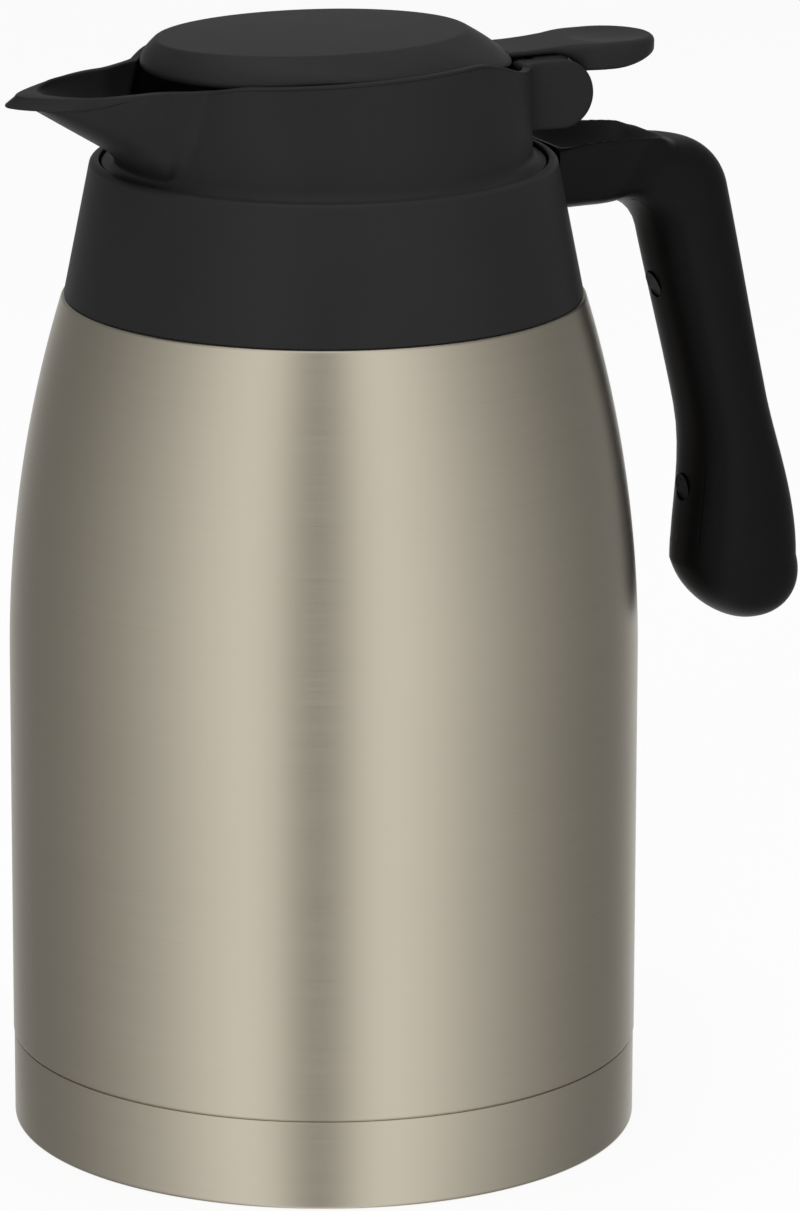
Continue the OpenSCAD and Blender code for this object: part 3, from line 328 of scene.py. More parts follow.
def handle_stations():
    """Inner points, outer points, half widths and a position s that counts the source's
    stations: the arm is 0 to 9, the bend 9 to 15, the grip 15 to 33 and the end to 39."""
    in_c = np.array([CORNER_X, ARM_Z - ARM_H - BEND_IN])
    out_z = ARM_Z - RIDGE_DROP - BEND_OUT
    across_x = GRIP_D + BEND_IN - BEND_OUT - (out_z - in_c[1]) * math.sin(LEAN)
    out_c = np.array([CORNER_X + across_x / math.cos(LEAN), out_z])
    t = np.linspace(ARM_START, 1, 60)
    ridge = RIDGE_DROP * smooth((t - RIDGE_FROM) / RIDGE_OVER)
    arm_in = np.stack([mix(RECESS_R, in_c[0], t), 0 * t + ARM_Z - ARM_H], axis=-1)
    arm_out = np.stack([mix(RECESS_R, out_c[0], t), ARM_Z - ridge], axis=-1)
    arm_half = mix(ARM_W, GRIP_W + ARM_SPARE, smooth(ARM_TAPER * t)) / 2
    arm_half = arm_half - ARM_TUCK * smooth((t - TUCK_FROM) / (1 - TUCK_FROM))
    b = np.linspace(0, 1, 29)[1:]
    u = direction(np.radians(mix(90, LEAN_DEGREES, b)))
    bend_in, bend_out = in_c + BEND_IN * u, out_c + BEND_OUT * u
    gap = bend_out[-1] - bend_in[-1]
    first_tilt = math.atan2(gap[1], gap[0]) - LEAN
    k = np.linspace(0, GRIP_STEPS, 91)
    step = (GRIP_L - BULB_D / 2) / GRIP_STEPS
    lean_mid = lean_at((k[1:] + k[:-1]) / 2 * step / GRIP_L)
    steps = np.stack([np.sin(lean_mid), -np.cos(lean_mid)], axis=-1) * (step * (k[1] - k[0]))
    line = (bend_in[-1] + bend_out[-1]) / 2 + np.cumsum(steps, axis=0)
    k = k[1:]
    bulb = smooth((k - GRIP_STEPS * BULB_FROM) / (GRIP_STEPS * (1 - BULB_FROM)))
    tilt = first_tilt * (1 - smooth(k / TILT_OVER))
    deep = mix(GRIP_D - GRIP_WAIST * smooth(k / WAIST_OVER), BULB_D, bulb) / 2 / np.cos(tilt)
    across = deep[:, None] * direction(lean_at(k * step / GRIP_L) + tilt)
    a = np.radians(np.linspace(0, 88, 24))[1:]
    middle = line[-1] + np.stack([END_SHIFT * np.sin(a), -BULB_D / 2 * np.sin(a)], axis=-1)
    reach = np.stack([BULB_D / 2 * np.cos(a), 0 * a], axis=-1)
    inner = np.vstack([arm_in, bend_in, line - across, middle - reach])
    outer = np.vstack([arm_out, bend_out, line + across, middle + reach])
    half = np.concatenate([arm_half, 0 * b + GRIP_W / 2, mix(GRIP_W, BULB_W, bulb) / 2,
                           BULB_W / 2 * np.cos(a)])
    s = np.concatenate([9 * t, 9 + 6 * b, 15 + k, 33 + 6 * a / np.radians(90)])
    return inner, outer, half, s


inner, outer, half, s = handle_stations()
print("handle stations:", len(s), "grip ends at height", round(float(inner[-1, 1]), 1))


# %% Handle skin
COVER_W, COVER_SHARE, CHANNEL_D, CHANNEL_FROM, CHANNEL_TO = 13.0, 0.62, 2.5, 5, 32
CHANNEL_AT = np.array([-1.012, -1.0, -0.75, -0.5, -0.25, 0, 0.25, 0.5, 0.75, 1.0, 1.012])
ARM_TOP_E, ARM_LOW_E, GRIP_E, ROUND_FROM, ROUND_OVER = 0.25, 0.6, 0.9, 7.5, 3.0
DISH_X, DISH_L, DISH_SHARE, DISH_DEPTH, DISH_RIM = 61.5, 26.0, 0.9, 4.4, 1.0
DISH_BAND, DISH_BLEND, ROUND_POINTS = 6.5, 4.0, 188


def handle_section(inner, outer, half, s):
    """Rings of the skin. Across the finger side the points are set out by their distance
    y from the middle, so that two of them stand on the channel's edge, and round the
    rest by angle. A superellipse has |q/h|^n + |y/w|^n = 1, so q follows from y as
    h (1 - |y/w|^n)^(1/n), and the radius at an angle is one over that sum's root."""
    middle, reach = (inner + outer) / 2, (outer - inner) / 2
    depth = np.linalg.norm(reach, axis=1)
    part = smooth((s - ROUND_FROM) / ROUND_OVER)
    n_top, n_low = 2 / mix(ARM_TOP_E, GRIP_E, part), 2 / mix(ARM_LOW_E, GRIP_E, part)
    y_low = np.minimum(COVER_W / 2, COVER_SHARE * half)[:, None] * CHANNEL_AT
    w, h, low = half[:, None], depth[:, None], n_low[:, None]
    q_low = -h * (1 - np.abs(y_low / w) ** low) ** (1 / low)
    start = np.arctan2(y_low[:, -1], q_low[:, -1])[:, None]
    sweep = start * (1 - 2 * np.linspace(0, 1, ROUND_POINTS + 2)[1:-1])
    n = np.where(np.abs(sweep) < np.pi / 2, n_top[:, None], low)
    radius = (np.abs(np.cos(sweep) / h) ** n + np.abs(np.sin(sweep) / w) ** n) ** (-1 / n)
    q = np.hstack([q_low, radius * np.cos(sweep)])
    y = np.hstack([y_low, radius * np.sin(sweep)])
    column = np.arange(q.shape[1])
    channel = ((s > CHANNEL_FROM) & (s < CHANNEL_TO))[:, None]
    channel = channel & (column > 0) & (column < len(CHANNEL_AT) - 1)
    q = np.where(channel, q + CHANNEL_D, q)
    x = middle[:, :1] + reach[:, :1] / h * q
    z = middle[:, 1:] + reach[:, 1:] / h * q
    return x, y, z


def press_dish(x, y, z, half):
    """Lowers the top of the arm by a scoop and raises its rims a little: with u and v
    from -1 to 1 over its length and width, the depth is (1 - u^4)(1 - v^2), and the
    rims rise by (1 - u^2) v^4."""
    u = np.clip((x - DISH_X) / (DISH_L / 2), -1, 1)
    v = np.clip(y / (DISH_SHARE * half[:, None]), -1, 1)
    top = smooth((z - ARM_Z + DISH_BAND) / DISH_BLEND)
    return z + top * (DISH_RIM * (1 - u ** 2) * v ** 4 - DISH_DEPTH * (1 - u ** 4) * (1 - v ** 2))


x, y, z = handle_section(inner, outer, half, s)
handle_grid = np.stack([x, y, press_dish(x, y, z, half)], axis=-1)
handle = make_skin("handle_skin", handle_grid, tips=end_middles(handle_grid), sharp=62)

# %% [markdown]
# ## The stopper
# The stopper is one moulding: a round flange, an oval wall that grows out of it with a
# small hollow, and a spout that leaves the wall as a keel below and a thin lip above.
# It could be joined from several bodies, but one skin over (angle, row) gives the soft
# crease of the real moulding. Along each ray from the axis, the wall's reach and the
# spout's reach are found, and the larger of the two, a little rounded, is the skin.

# %% Sizes of the stopper
FLARE_R, FLARE_IN, RIM_A, RIM_B, RIM_X = 2.2, 0.5, 42.5, 35.5, 1.0
BOWL_WALL, BOWL_EDGE_R, HOLE_R, HOLE_EDGE_R = 1.8, 1.0, 19.05, 0.4
RIM_SLOPE, REAR_DROP, REAR_FROM, REAR_OVER = 0.035, 5.6, 19.0, 21.0
TIP_X, ROOT_W, SPOUT_W, SPOUT_FROM, PLAN_POWER, FADE_L = 70.0, 19.0, 15.2, 44.0, 1.6, 10.0
SPOUT_Z, SPOUT_DIP, DIP_FROM, TO_SPOUT_FROM, TO_SPOUT_OVER = 223.8, 1.3, 34.0, 28.0, 9.0
LIP_T, LIP_THIN, LIP_OVER, LIP_GAP, LIP_LOW_R, RIM_EDGE_R = 2.1, 0.4, 16.0, 0.25, 0.32, 0.38
LIP_FROM, LIP_FULL_OVER, LIP_LEAST, RIM_LEAST_T, NOSE_IN, NOSE_LIP = 46.0, 8.0, 0.03, 0.9, 0.3, 0.6
HULL_FROM, HULL_TUCK, HULL_TUCK_FROM, TUCK_FULL_W, HULL_MOST = 26.0, 1.1, 51.0, 4.0, 19.2
KEEL, KEEL_BACK, KEEL_LEAST, KEEL_SWELL, SWELL_FROM = 0.66, 4.6, 0.05, 4.5, 47.0
HULL_SQUARE, SQUARE_FROM, SQUARE_OVER = 0.3, 41.0, 17.0
CHANNEL_X, CHANNEL_END, CHANNEL_ROUND, CHANNEL_BACK, CHANNEL_WALL = 24.0, 62.5, 9.0, 8.5, 1.8
CHANNEL_SPARE, CHANNEL_RISE, CHANNEL_POWER = 0.3, 0.1, 2.5
LEAN_ROOT, LEAN_TIP, LEAN_FROM, LEAN_OVER = 0.4, 2.0, 50.0, 19.0
RAY_FROM, RAY_TO, HALVINGS, STEEPEST = 28.0, 76.0, 24, 5.0
SPOUT_ARC, WALL_BLEND, TOP_BLEND, BOWL_BLEND = 132, 1.2, 1.5, 1.0


# %% Shapes of the spout
def spout_level(x):
    """Height of the spout's edge at a distance x toward the tip."""
    return SPOUT_Z - SPOUT_DIP * smooth((x - DIP_FROM) / (TIP_X - DIP_FROM))


def spout_half(x):
    """Half width of the spout in plan: a superellipse from the wall to the tip."""
    u = np.clip((x - SPOUT_FROM) / (TIP_X - SPOUT_FROM), 0, 1)
    root = (ROOT_W - SPOUT_W) * smooth((SPOUT_FROM - x) / FADE_L)
    return SPOUT_W * (1 - u ** PLAN_POWER) ** (1 / PLAN_POWER) + root


def lip_depth(x):
    """Thickness of the lip, full at the tip and running out toward the rim."""
    return mix(LIP_THIN, LIP_T, smooth((x - SPOUT_FROM) / LIP_OVER))


def in_plan(x, y, z):
    """True inside the spout's plan, at any height."""
    return (x > HULL_FROM) & (x < TIP_X) & (y < spout_half(x))


def in_hull(x, y, z):
    """True inside the spout's body. Its section at x hangs below the lip by the keel's
    depth times |sin|^e, so at height z it is (1 - s^(2/e))^(1/2) of its half width."""
    w = spout_half(x)
    tuck = HULL_TUCK * smooth((x - HULL_TUCK_FROM) / FADE_L)
    wide = w - tuck * np.minimum(1, w / TUCK_FULL_W)
    keel = KEEL * (TIP_X - KEEL_BACK - x) + KEEL_SWELL * smooth((SWELL_FROM - x) / FADE_L)
    depth = np.clip(keel, KEEL_LEAST, HULL_MOST) + LIP_T - lip_depth(x)
    e = mix(HULL_SQUARE, 1.0, np.clip((x - SQUARE_FROM) / SQUARE_OVER, 0, 1))
    s = np.clip((spout_level(x) - lip_depth(x) - LIP_GAP - z) / depth, 0, 1)
    return (x > HULL_FROM) & (x < TIP_X) & (s < 1) & (y < wide * np.sqrt(1 - s ** (2 / e)))


def in_channel(x, y, z):
    """True inside the pouring channel, whose section is a squarer kind of ellipse."""
    u = np.clip((x - CHANNEL_END + CHANNEL_ROUND) / (CHANNEL_ROUND + CHANNEL_SPARE), 0, 1)
    w = (spout_half(x) - CHANNEL_WALL) * np.sqrt(1 - u ** 2)
    keel = KEEL * np.maximum(0, TIP_X - CHANNEL_BACK - x)
    depth = np.minimum(SPOUT_Z - BOWL_Z, CHANNEL_RISE * (TIP_X - x) + keel)
    s = np.clip((spout_level(x) - z) / depth, 0, 1)
    w = w * np.sqrt(1 - s ** CHANNEL_POWER)
    return (x > CHANNEL_X) & (x < CHANNEL_END) & (s < 1) & (y < w)


def reach(theta, inside, z):
    """Distance along each ray at which `inside` stops, found by halving a step."""
    shape = np.broadcast(theta, z).shape
    low, high = np.full(shape, RAY_FROM), np.full(shape, RAY_TO)
    for _ in range(HALVINGS):
        r = (low + high) / 2
        ok = inside(-r * np.cos(theta), np.abs(r * np.sin(theta)), z)
        low, high = np.where(ok, r, low), np.where(ok, high, r)
    return low


def oval(theta, a, b, shift):
    """Distance from the axis to an ellipse whose middle is shifted along X, as the
    positive root of the ellipse's equation along the ray."""
    c, s = np.cos(theta), np.sin(theta)
    p, q, k = (c / a) ** 2 + (s / b) ** 2, c * shift / a ** 2, (shift / a) ** 2 - 1
    return (q + np.sqrt(q * q - p * k)) / p


def rim_plane(x):
    """Height of the rim, which rises a little toward the handle and drops behind."""
    return RIM_Z + RIM_SLOPE * x - REAR_DROP * smooth((x - REAR_FROM) / REAR_OVER)


# %% Stopper skin
SPOUT_COLUMNS, REAR_COLUMNS = 110, 219
FLARE_ROWS, WALL_ROWS, BOWL_ROWS, BOWL_POWER = 8, 44, 36, 1.15
FLANGE_LOW_R, FLANGE_TOP_R, UNDER_RINGS, HOLE_MARGIN = 0.4, 0.3, (26.0, 34.0, 42.0), 1.0
UNDER_GAP, NOSE_GAP, TOP_GAP = 0.04, 0.01, 0.02


def stopper_grid():
    """Rows of the closed section: underside, flange edge, flare, wall and hull, lip,
    rim, channel and bowl, floor, passage; columns go round, closer at the spout."""
    turns = [(0, SPOUT_ARC, SPOUT_COLUMNS), (SPOUT_ARC, 360 - SPOUT_ARC, REAR_COLUMNS),
             (360 - SPOUT_ARC, 360, SPOUT_COLUMNS)]
    t = np.concatenate([np.linspace(*turn, endpoint=False) for turn in turns])
    t = np.radians(t)[None, :]
    low_r = FLANGE_R - FLARE_R - FLARE_IN
    rim = oval(t, RIM_A, RIM_B, RIM_X)
    plane = rim_plane(rim * np.cos(t))
    toward = smooth((-rim * np.cos(t) - TO_SPOUT_FROM) / TO_SPOUT_OVER)
    top = soft_max(rim, reach(t, in_plan, 0 * t), TOP_BLEND)
    steep = np.minimum(np.sqrt(1 + (np.gradient(top[0], t[0])[None, :] / top) ** 2), STEEPEST)
    lip_x = -top * np.cos(t)
    top_z = mix(plane, spout_level(lip_x), toward)
    under_z = top_z - lip_depth(lip_x) - LIP_GAP
    has_lip = np.maximum(LIP_LEAST, smooth((lip_x - LIP_FROM) / LIP_FULL_OVER))
    lean = mix(LEAN_ROOT, LEAN_TIP, smooth((lip_x - LEAN_FROM) / LEAN_OVER)) * has_lip

    def wall(z, inset):
        u = np.clip((z - FLANGE_Z) / (top_z - FLANGE_Z), 0, 1)
        h = np.clip((z - FLANGE_Z) / FLARE_R, 0, 1)
        flare = (FLARE_R * (1 - np.sqrt(1 - (1 - h) ** 2))) if inset == 0 else 0 * h
        grow = flare - inset
        return oval(t, mix(low_r, RIM_A, u) + grow, mix(low_r, RIM_B, u) + grow, RIM_X * u)

    def outside(z):
        return soft_max(wall(z, 0), reach(t, in_hull, z), WALL_BLEND)

    def hollow(z):
        return soft_max(wall(z, BOWL_WALL), reach(t, in_channel, z), BOWL_BLEND)

    rows = []

    def add(r, z):
        rows.append(np.broadcast_arrays(r + 0 * t, z + 0 * t))

    def add_arc(r, z, *bend):
        for along, up in arc(0, 0, *bend):
            add(r + along, z + up)

    low_z = FLANGE_Z - FLANGE_T
    for r in (HOLE_R + HOLE_EDGE_R, *UNDER_RINGS):
        add(r, low_z)
    add_arc(FLANGE_R - FLANGE_LOW_R, low_z + FLANGE_LOW_R, FLANGE_LOW_R, -90, 0, 4)
    add_arc(FLANGE_R - FLANGE_TOP_R, FLANGE_Z - FLANGE_TOP_R, FLANGE_TOP_R, 0, 90, 5)
    for h in 1 - np.cos(np.radians(np.linspace(0, 90, FLARE_ROWS))):
        z = FLANGE_Z + FLARE_R * h + 0 * t
        add(outside(z), z)
    for v in np.linspace(0, 1, WALL_ROWS)[1:]:
        z = mix(FLANGE_Z + FLARE_R, under_z - UNDER_GAP, v)
        add(outside(z), z)
    hull_top = rows[-1][0]
    nose = np.maximum(hull_top + NOSE_GAP, top - (NOSE_IN + NOSE_LIP * has_lip) * steep)
    add(mix(hull_top, nose, has_lip), under_z)
    for r, z in arc(-LIP_LOW_R, 0, LIP_LOW_R, -80, 0, 5):
        add(top + r * steep * has_lip, under_z + LIP_LOW_R * has_lip + z * has_lip)
    for r, z in arc(-RIM_EDGE_R, -RIM_EDGE_R, RIM_EDGE_R, 0, 90, 6):
        add(top + (r - lean) * steep, top_z + z)
    inside = top - (RIM_LEAST_T + lean) * steep
    inner = np.minimum(hollow(top_z - TOP_GAP), inside)
    inner_z = mix(plane, spout_level(-inner * np.cos(t)), toward) - RIM_EDGE_R
    for r, z in arc(-RIM_EDGE_R, 0, RIM_EDGE_R, 90, 0, 5)[:-1]:
        add(inner - r * np.minimum(steep, 3), inner_z + z)
    for v in np.linspace(0, 1, BOWL_ROWS):
        z = mix(inner_z, BOWL_Z + BOWL_EDGE_R, v ** BOWL_POWER)
        add(np.minimum(hollow(z), inside), z)
    floor_r = rows[-1][0] - BOWL_EDGE_R
    add_arc(floor_r, BOWL_Z + BOWL_EDGE_R, BOWL_EDGE_R, -20, -90, 5)
    for v in (0.25, 0.5, 0.75, 1.0):
        add(mix(floor_r, HOLE_R + HOLE_MARGIN, v), BOWL_Z)
    add_arc(HOLE_R + HOLE_EDGE_R, BOWL_Z - HOLE_EDGE_R, HOLE_EDGE_R, 90, 180, 4)
    add(HOLE_R, low_z + HOLE_EDGE_R)
    r = np.stack([row[0][0] for row in rows])
    z = np.stack([row[1][0] for row in rows])
    return np.stack([r * np.cos(t), r * np.sin(t), z], axis=-1)


stopper = make_skin("stopper_skin", stopper_grid(), loop_rows=True, sharp=50)

# %% [markdown]
# ## Plates with rounded edges
# The hinge ears, the lid's boss and the lever are all flat outlines given a thickness.
# A plate is the outline moved in along its own normals while it rises, first along a
# quarter circle, then straight, then along another, so every edge is a true radius.

# %% Plates
def resample(outline, count):
    """The closed outline at equal steps of its length."""
    closed = np.vstack([outline, outline[:1]])
    along = np.concatenate([[0], np.cumsum(np.linalg.norm(np.diff(closed, axis=0), axis=1))])
    at = np.linspace(0, along[-1], count, endpoint=False)
    return np.stack([np.interp(at, along, closed[:, k]) for k in (0, 1)], axis=-1)


def outward(outline):
    """Unit normals of a closed outline that runs anticlockwise."""
    tangent = np.roll(outline, -1, axis=0) - np.roll(outline, 1, axis=0)
    normal = np.stack([tangent[:, 1], -tangent[:, 0]], axis=-1)
    return normal / np.linalg.norm(normal, axis=1, keepdims=True)


def plate_rings(outline, thickness, radius, shares=(0.97, 0.8, 0.5, 0.2)):
    """(rows, points, 3) with the outline in the first two and the height in the third.
    The rounded edge is moved in by r (1 - sin a) at height r (1 - cos a); the flat
    faces then shrink toward the outline's middle by the shares."""
    a = np.radians(np.linspace(0, 90, 6))
    inset, rise = radius * (1 - np.sin(a)), radius * (1 - np.cos(a))
    inset = np.concatenate([inset, inset[::-1]])
    edge = outline[None] - outward(outline)[None] * inset[:, None, None]
    middle = outline.mean(axis=0)
    low = np.stack([middle + (edge[0] - middle) * share for share in shares[::-1]])
    high = np.stack([middle + (edge[-1] - middle) * share for share in shares])
    flat = np.concatenate([low, edge, high])
    level = np.concatenate([np.zeros(len(shares)), rise, thickness - rise[::-1],
                            np.full(len(shares), thickness)])
    return np.dstack([flat, np.broadcast_to(level[:, None], flat.shape[:2])])


def upright_plate(name, outline, y0, y1, radius):
    """A plate whose outline lies in the side view, running from y1 down to y0."""
    rings = plate_rings(outline, y1 - y0, radius)
    grid = np.stack([rings[..., 0], y1 - rings[..., 2], rings[..., 1]], axis=-1)
    return make_skin(name, grid, tips=end_middles(grid))


# %% [markdown]
# ## The hinge
# Two round cheeks stand out behind the stopper's wall and hold the pin. Between them
# the lid has a boss that turns on the pin, in two halves, with the coil spring in the
# slot between the halves.

# %% Hinge ears and boss
EAR_R, EAR_IN, EAR_OUT, EAR_EDGE_R, EAR_FROM, EAR_CORNER_R = 7.2, 7.85, 13.25, 1.1, 38.4, 1.2
FILLET_R, FILLET_X, FILLET_SHARE, FILLET_UNTIL, FILLET_FADE = 4.5, 43.2, 0.9, 3.0, 2.0
EAR_SHARES = np.linspace(0.97, 0.1, 24)
BOSS_R, BOSS_H, BOSS_IN, BOSS_HALF, BOSS_EDGE_R, SLOT_HALF = 4.2, 7.2, 0.2, 7.35, 0.4, 2.1

corner_x, corner_h = EAR_FROM + EAR_CORNER_R, EAR_R - EAR_CORNER_R
ear_outline = resample(np.vstack([
    arc(HINGE_X, HINGE_Z, EAR_R, -90, 90, 60),
    arc(corner_x, HINGE_Z + corner_h, EAR_CORNER_R, 90, 180, 8),
    arc(corner_x, HINGE_Z - corner_h, EAR_CORNER_R, 180, 270, 8)]), 150)


def ear(name, side):
    """An upright plate whose outer face flares out to the wall by a fillet, whose rise
    is R - (R^2 - d^2)^(1/2) at a distance d past its start, and which stops where its
    slope is the wall's."""
    rings = plate_rings(ear_outline, EAR_OUT - EAR_IN, EAR_EDGE_R, EAR_SHARES)
    past = np.clip(FILLET_X - rings[..., 0], 0, FILLET_R * FILLET_SHARE)
    flare = FILLET_R - np.sqrt(FILLET_R ** 2 - past ** 2)
    flare = flare * smooth((FILLET_UNTIL - rings[..., 2]) / FILLET_FADE)
    grid = np.stack([rings[..., 0], EAR_OUT - rings[..., 2] + flare, rings[..., 1]], axis=-1)
    if side < 0:
        grid = grid[:, ::-1] * [1, -1, 1]
    return make_skin(name, grid, tips=end_middles(grid), sharp=50)


ear_left, ear_right = ear("ear_left", 1), ear("ear_right", -1)

boss_outline = resample(np.vstack([
    arc(HINGE_X, HINGE_Z, BOSS_R, -180, 0, 36),
    [[HINGE_X + BOSS_R - BOSS_IN, HINGE_Z + BOSS_H],
     [HINGE_X - BOSS_R + BOSS_IN, HINGE_Z + BOSS_H]]]), 90)
boss_left = upright_plate("boss_left", boss_outline, SLOT_HALF, BOSS_HALF, BOSS_EDGE_R)
boss_right = upright_plate("boss_right", boss_outline, -BOSS_HALF, -SLOT_HALF, BOSS_EDGE_R)

# %% [markdown]
# ## The lid
# The lid is a shallow oval cup turned upside down: a flat top with a very slight crown,
# and a band that slopes out to the stopper's rim. Its rear edge drops with the rim to
# let the lever pass. Ring by ring, each point of the band lies a part t of the way from
# the lower oval to the upper one.

# %% Lid skin
LID_A, LID_B, LID_TOP_A, LID_TOP_B, LID_X, LID_TOP_X = 39.3, 33.0, 32.9, 25.0, 0.9, 2.8
LID_Z, LID_TOP_Z, LID_CROWN, LID_WALL, LID_FULL, LID_LOW_R = 225.4, 230.2, 0.3, 2.0, 0.9, 1.0
LID_REAR_DROP, LID_REAR_OVER = 2.7, 20.0
LID_FRONT_DROP, LID_FRONT_FROM, LID_FRONT_OVER = 1.4, 12.0, 22.0
BAND_FROM, BAND_TO, EDGE_FROM, EDGE_TO = 0.22, 0.88, 0.94, 0.986


def lid_band(t, inset, angle):
    """One ring of the band: a mix of two ovals, a little full in the middle, whose
    lower edge drops toward the handle and, less, toward the spout."""
    full = LID_FULL * math.sin(math.pi * t) - inset
    along = LID_X + LID_A * np.cos(angle)
    low = LID_Z - LID_REAR_DROP * smooth((along - REAR_FROM) / LID_REAR_OVER)
    low = low - LID_FRONT_DROP * smooth((-along - LID_FRONT_FROM) / LID_FRONT_OVER)
    x = mix(LID_X, -LID_TOP_X, t) + (mix(LID_A, LID_TOP_A, t) + full) * np.cos(angle)
    y = (mix(LID_B, LID_TOP_B, t) + full) * np.sin(angle)
    return np.stack([x, y, mix(low, LID_TOP_Z, t) - inset * t], axis=-1)


def lid_top(share, angle):
    """One ring of the crowned top, at a share of its half length and half width."""
    x = -LID_TOP_X + LID_TOP_A * share * np.cos(angle)
    y = LID_TOP_B * share * np.sin(angle)
    return np.stack([x, y, 0 * x + LID_TOP_Z + LID_CROWN * (1 - share ** 2)], axis=-1)


angle = np.linspace(0, 2 * np.pi, 240, endpoint=False)
corner, before, after = (lid_band(1.0, 0, angle), lid_band(EDGE_FROM, 0, angle),
                         lid_top(EDGE_TO, angle))
lid_rows = [lid_band(t, LID_WALL, angle) for t in (1.0, 0.75, 0.5, 0.25, 0.0)]
lid_rows += [lid_band(BAND_FROM * (1 - math.sin(a)), LID_LOW_R * (1 - math.cos(a)), angle)
             for a in np.radians(np.linspace(75, 15, 5))]
lid_rows += [lid_band(t, 0, angle) for t in np.linspace(BAND_FROM, BAND_TO, 12)]
lid_rows += [(1 - k) ** 2 * before + 2 * k * (1 - k) * corner + k ** 2 * after
             for k in np.linspace(0, 1, 7)]
lid_rows += [lid_top(k, angle) for k in (0.95, 0.85, 0.7, 0.5, 0.3, 0.12)]
lid_tips = [[-LID_TOP_X, 0, z] for z in (LID_TOP_Z - LID_WALL, LID_TOP_Z + LID_CROWN)]
lid = make_skin("lid_skin", np.stack(lid_rows), tips=lid_tips, sharp=50)

# %% [markdown]
# ## The lever
# The lever is the lid's tail: a thin neck between the ears that swells into a round
# paddle for the thumb. Its plan is one outline, its thickness changes along its length,
# and its top is very slightly dished.

# %% Lever skin
LEVER_FROM, LEVER_TIP, LEVER_Z, LEVER_W, NECK_W = 37.6, 74.3, 224.6, 10.5, 15.0
LEVER_T, LEVER_TIP_T, THIN_OVER, LEVER_EDGE_R, LEVER_EDGE_SHARE = 5.6, 3.8, 13.0, 1.3, 0.42
NECK_SINK, SINK_TO, SINK_OVER, SWELL_OVER = 0.7, 10.0, 16.0, 12.0
LEVER_CLEAR_R, CLEAR_BLEND = 7.5, 0.8
LEVER_DISH, LEVER_DISH_BACK, LEVER_DISH_L, LEVER_DISH_W = 0.5, 10.0, 9.0, 8.5


def lever_outline():
    """The plan: straight neck, swelling sides, and a half circle at the tip."""
    x = np.linspace(LEVER_FROM, LEVER_TIP - LEVER_W, 60)
    half = mix(NECK_W / 2, LEVER_W, smooth((x - HINGE_X) / SWELL_OVER))
    side = np.stack([x, half], axis=-1)
    tip = arc(LEVER_TIP - LEVER_W, 0, LEVER_W, -88, 88, 50)
    return resample(np.vstack([side * [1, -1], tip, side[::-1]]), 260)


def lever_height(x, y):
    """Top and underside of the lever over a place in its plan. The underside rides over
    the ears on a circle round the pin, so that the lever clears them as it turns."""
    top = LEVER_Z - NECK_SINK * smooth((HINGE_X + SINK_TO - x) / SINK_OVER)
    thick = mix(LEVER_T, LEVER_TIP_T, smooth((x - LEVER_TIP + THIN_OVER) / THIN_OVER))
    past = np.maximum(x - HINGE_X, 0)
    over = HINGE_Z + np.sqrt(np.maximum(LEVER_CLEAR_R ** 2 - past ** 2, 0))
    low = soft_max(top - thick, over, CLEAR_BLEND)
    u, v = (x - LEVER_TIP + LEVER_DISH_BACK) / LEVER_DISH_L, y / LEVER_DISH_W
    return top - LEVER_DISH * np.clip(1 - u ** 2 - v ** 2, 0, 1), low


def lever_grid():
    """Rings that shrink toward the middle line under the lever, turn round its edge
    with a radius of a part of its thickness, and shrink again over the top."""
    outline = lever_outline()
    normal = outward(outline)

    def flat(share, face):
        p = (outline - normal) * [1, share]
        return np.column_stack([p, lever_height(*p.T)[face]])

    rings = [flat(share, 1) for share in (0.0, 0.3, 0.6, 0.85)]
    top, low = lever_height(*outline.T)
    r = np.minimum(LEVER_EDGE_R, (top - low) * LEVER_EDGE_SHARE)
    for a in np.radians(np.linspace(0, 180, 13)):
        p = outline - normal * (r * (1 - np.sin(a)))[:, None]
        top, low = lever_height(*p.T)
        z = np.where(a < np.pi / 2, low + r * (1 - np.cos(a)), top - r * (1 + np.cos(a)))
        rings.append(np.column_stack([p, z]))
    rings += [flat(share, 0) for share in (0.9, 0.75, 0.6, 0.45, 0.3, 0.15, 0.0)]
    return np.stack(rings)


lever = make_skin("lever_skin", lever_grid(), merge=True, sharp=50)

# %% [markdown]
# ## Smaller solids
# Rings, seals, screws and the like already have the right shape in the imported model.
# Their meshes are loose triangles, so a copy with its shared corners joined is shaded
# smoothly, and it stands for the solid.

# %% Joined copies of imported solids
SKINS = {"outer_shell": [body], "base_shell": [base], "collar": [collar],
         "handle_shell": [handle], "stopper_body": [stopper, ear_left, ear_right],
         "lid_cover": [lid, lever, boss_left, boss_right]}
COPIED = ["inner_vessel", "vacuum_foil", "getter", "vent_seal", "neck_seal", "neck_ring",
          "handle_cover", "screw_upper", "screw_lower", "stopper_plug", "stopper_gasket",
          "hinge_pin", "hinge_spring", "lid_liner", "lid_puck", "lid_seal"]
COPY_SHARP = 32.0


def joined_copy(node):
    """A piece with the node's own triangles, joined where their corners meet."""
    work = bmesh.new()
    work.from_mesh(nodes[node].data)
    bmesh.ops.remove_doubles(work, verts=work.verts, dist=JOIN_WITHIN)
    work.verts.index_update()
    points = [v.co[:] for v in work.verts]
    triangles = [[v.index for v in f.verts] for f in work.faces]
    work.free()
    mesh = bpy.data.meshes.new(node + "_piece")
    mesh.from_pydata(points, [], triangles)
    return place_mesh(node + "_piece", mesh, COPY_SHARP)


copies = {node: joined_copy(node) for node in COPIED}
print("copies:", {node: len(piece.data.polygons) for node, piece in copies.items()})

# %% [markdown]
# ## Which solid each piece stands for
# A piece rides on the body of the solid that it replaces, so it moves with it when the
# stopper is turned or the lid is opened.

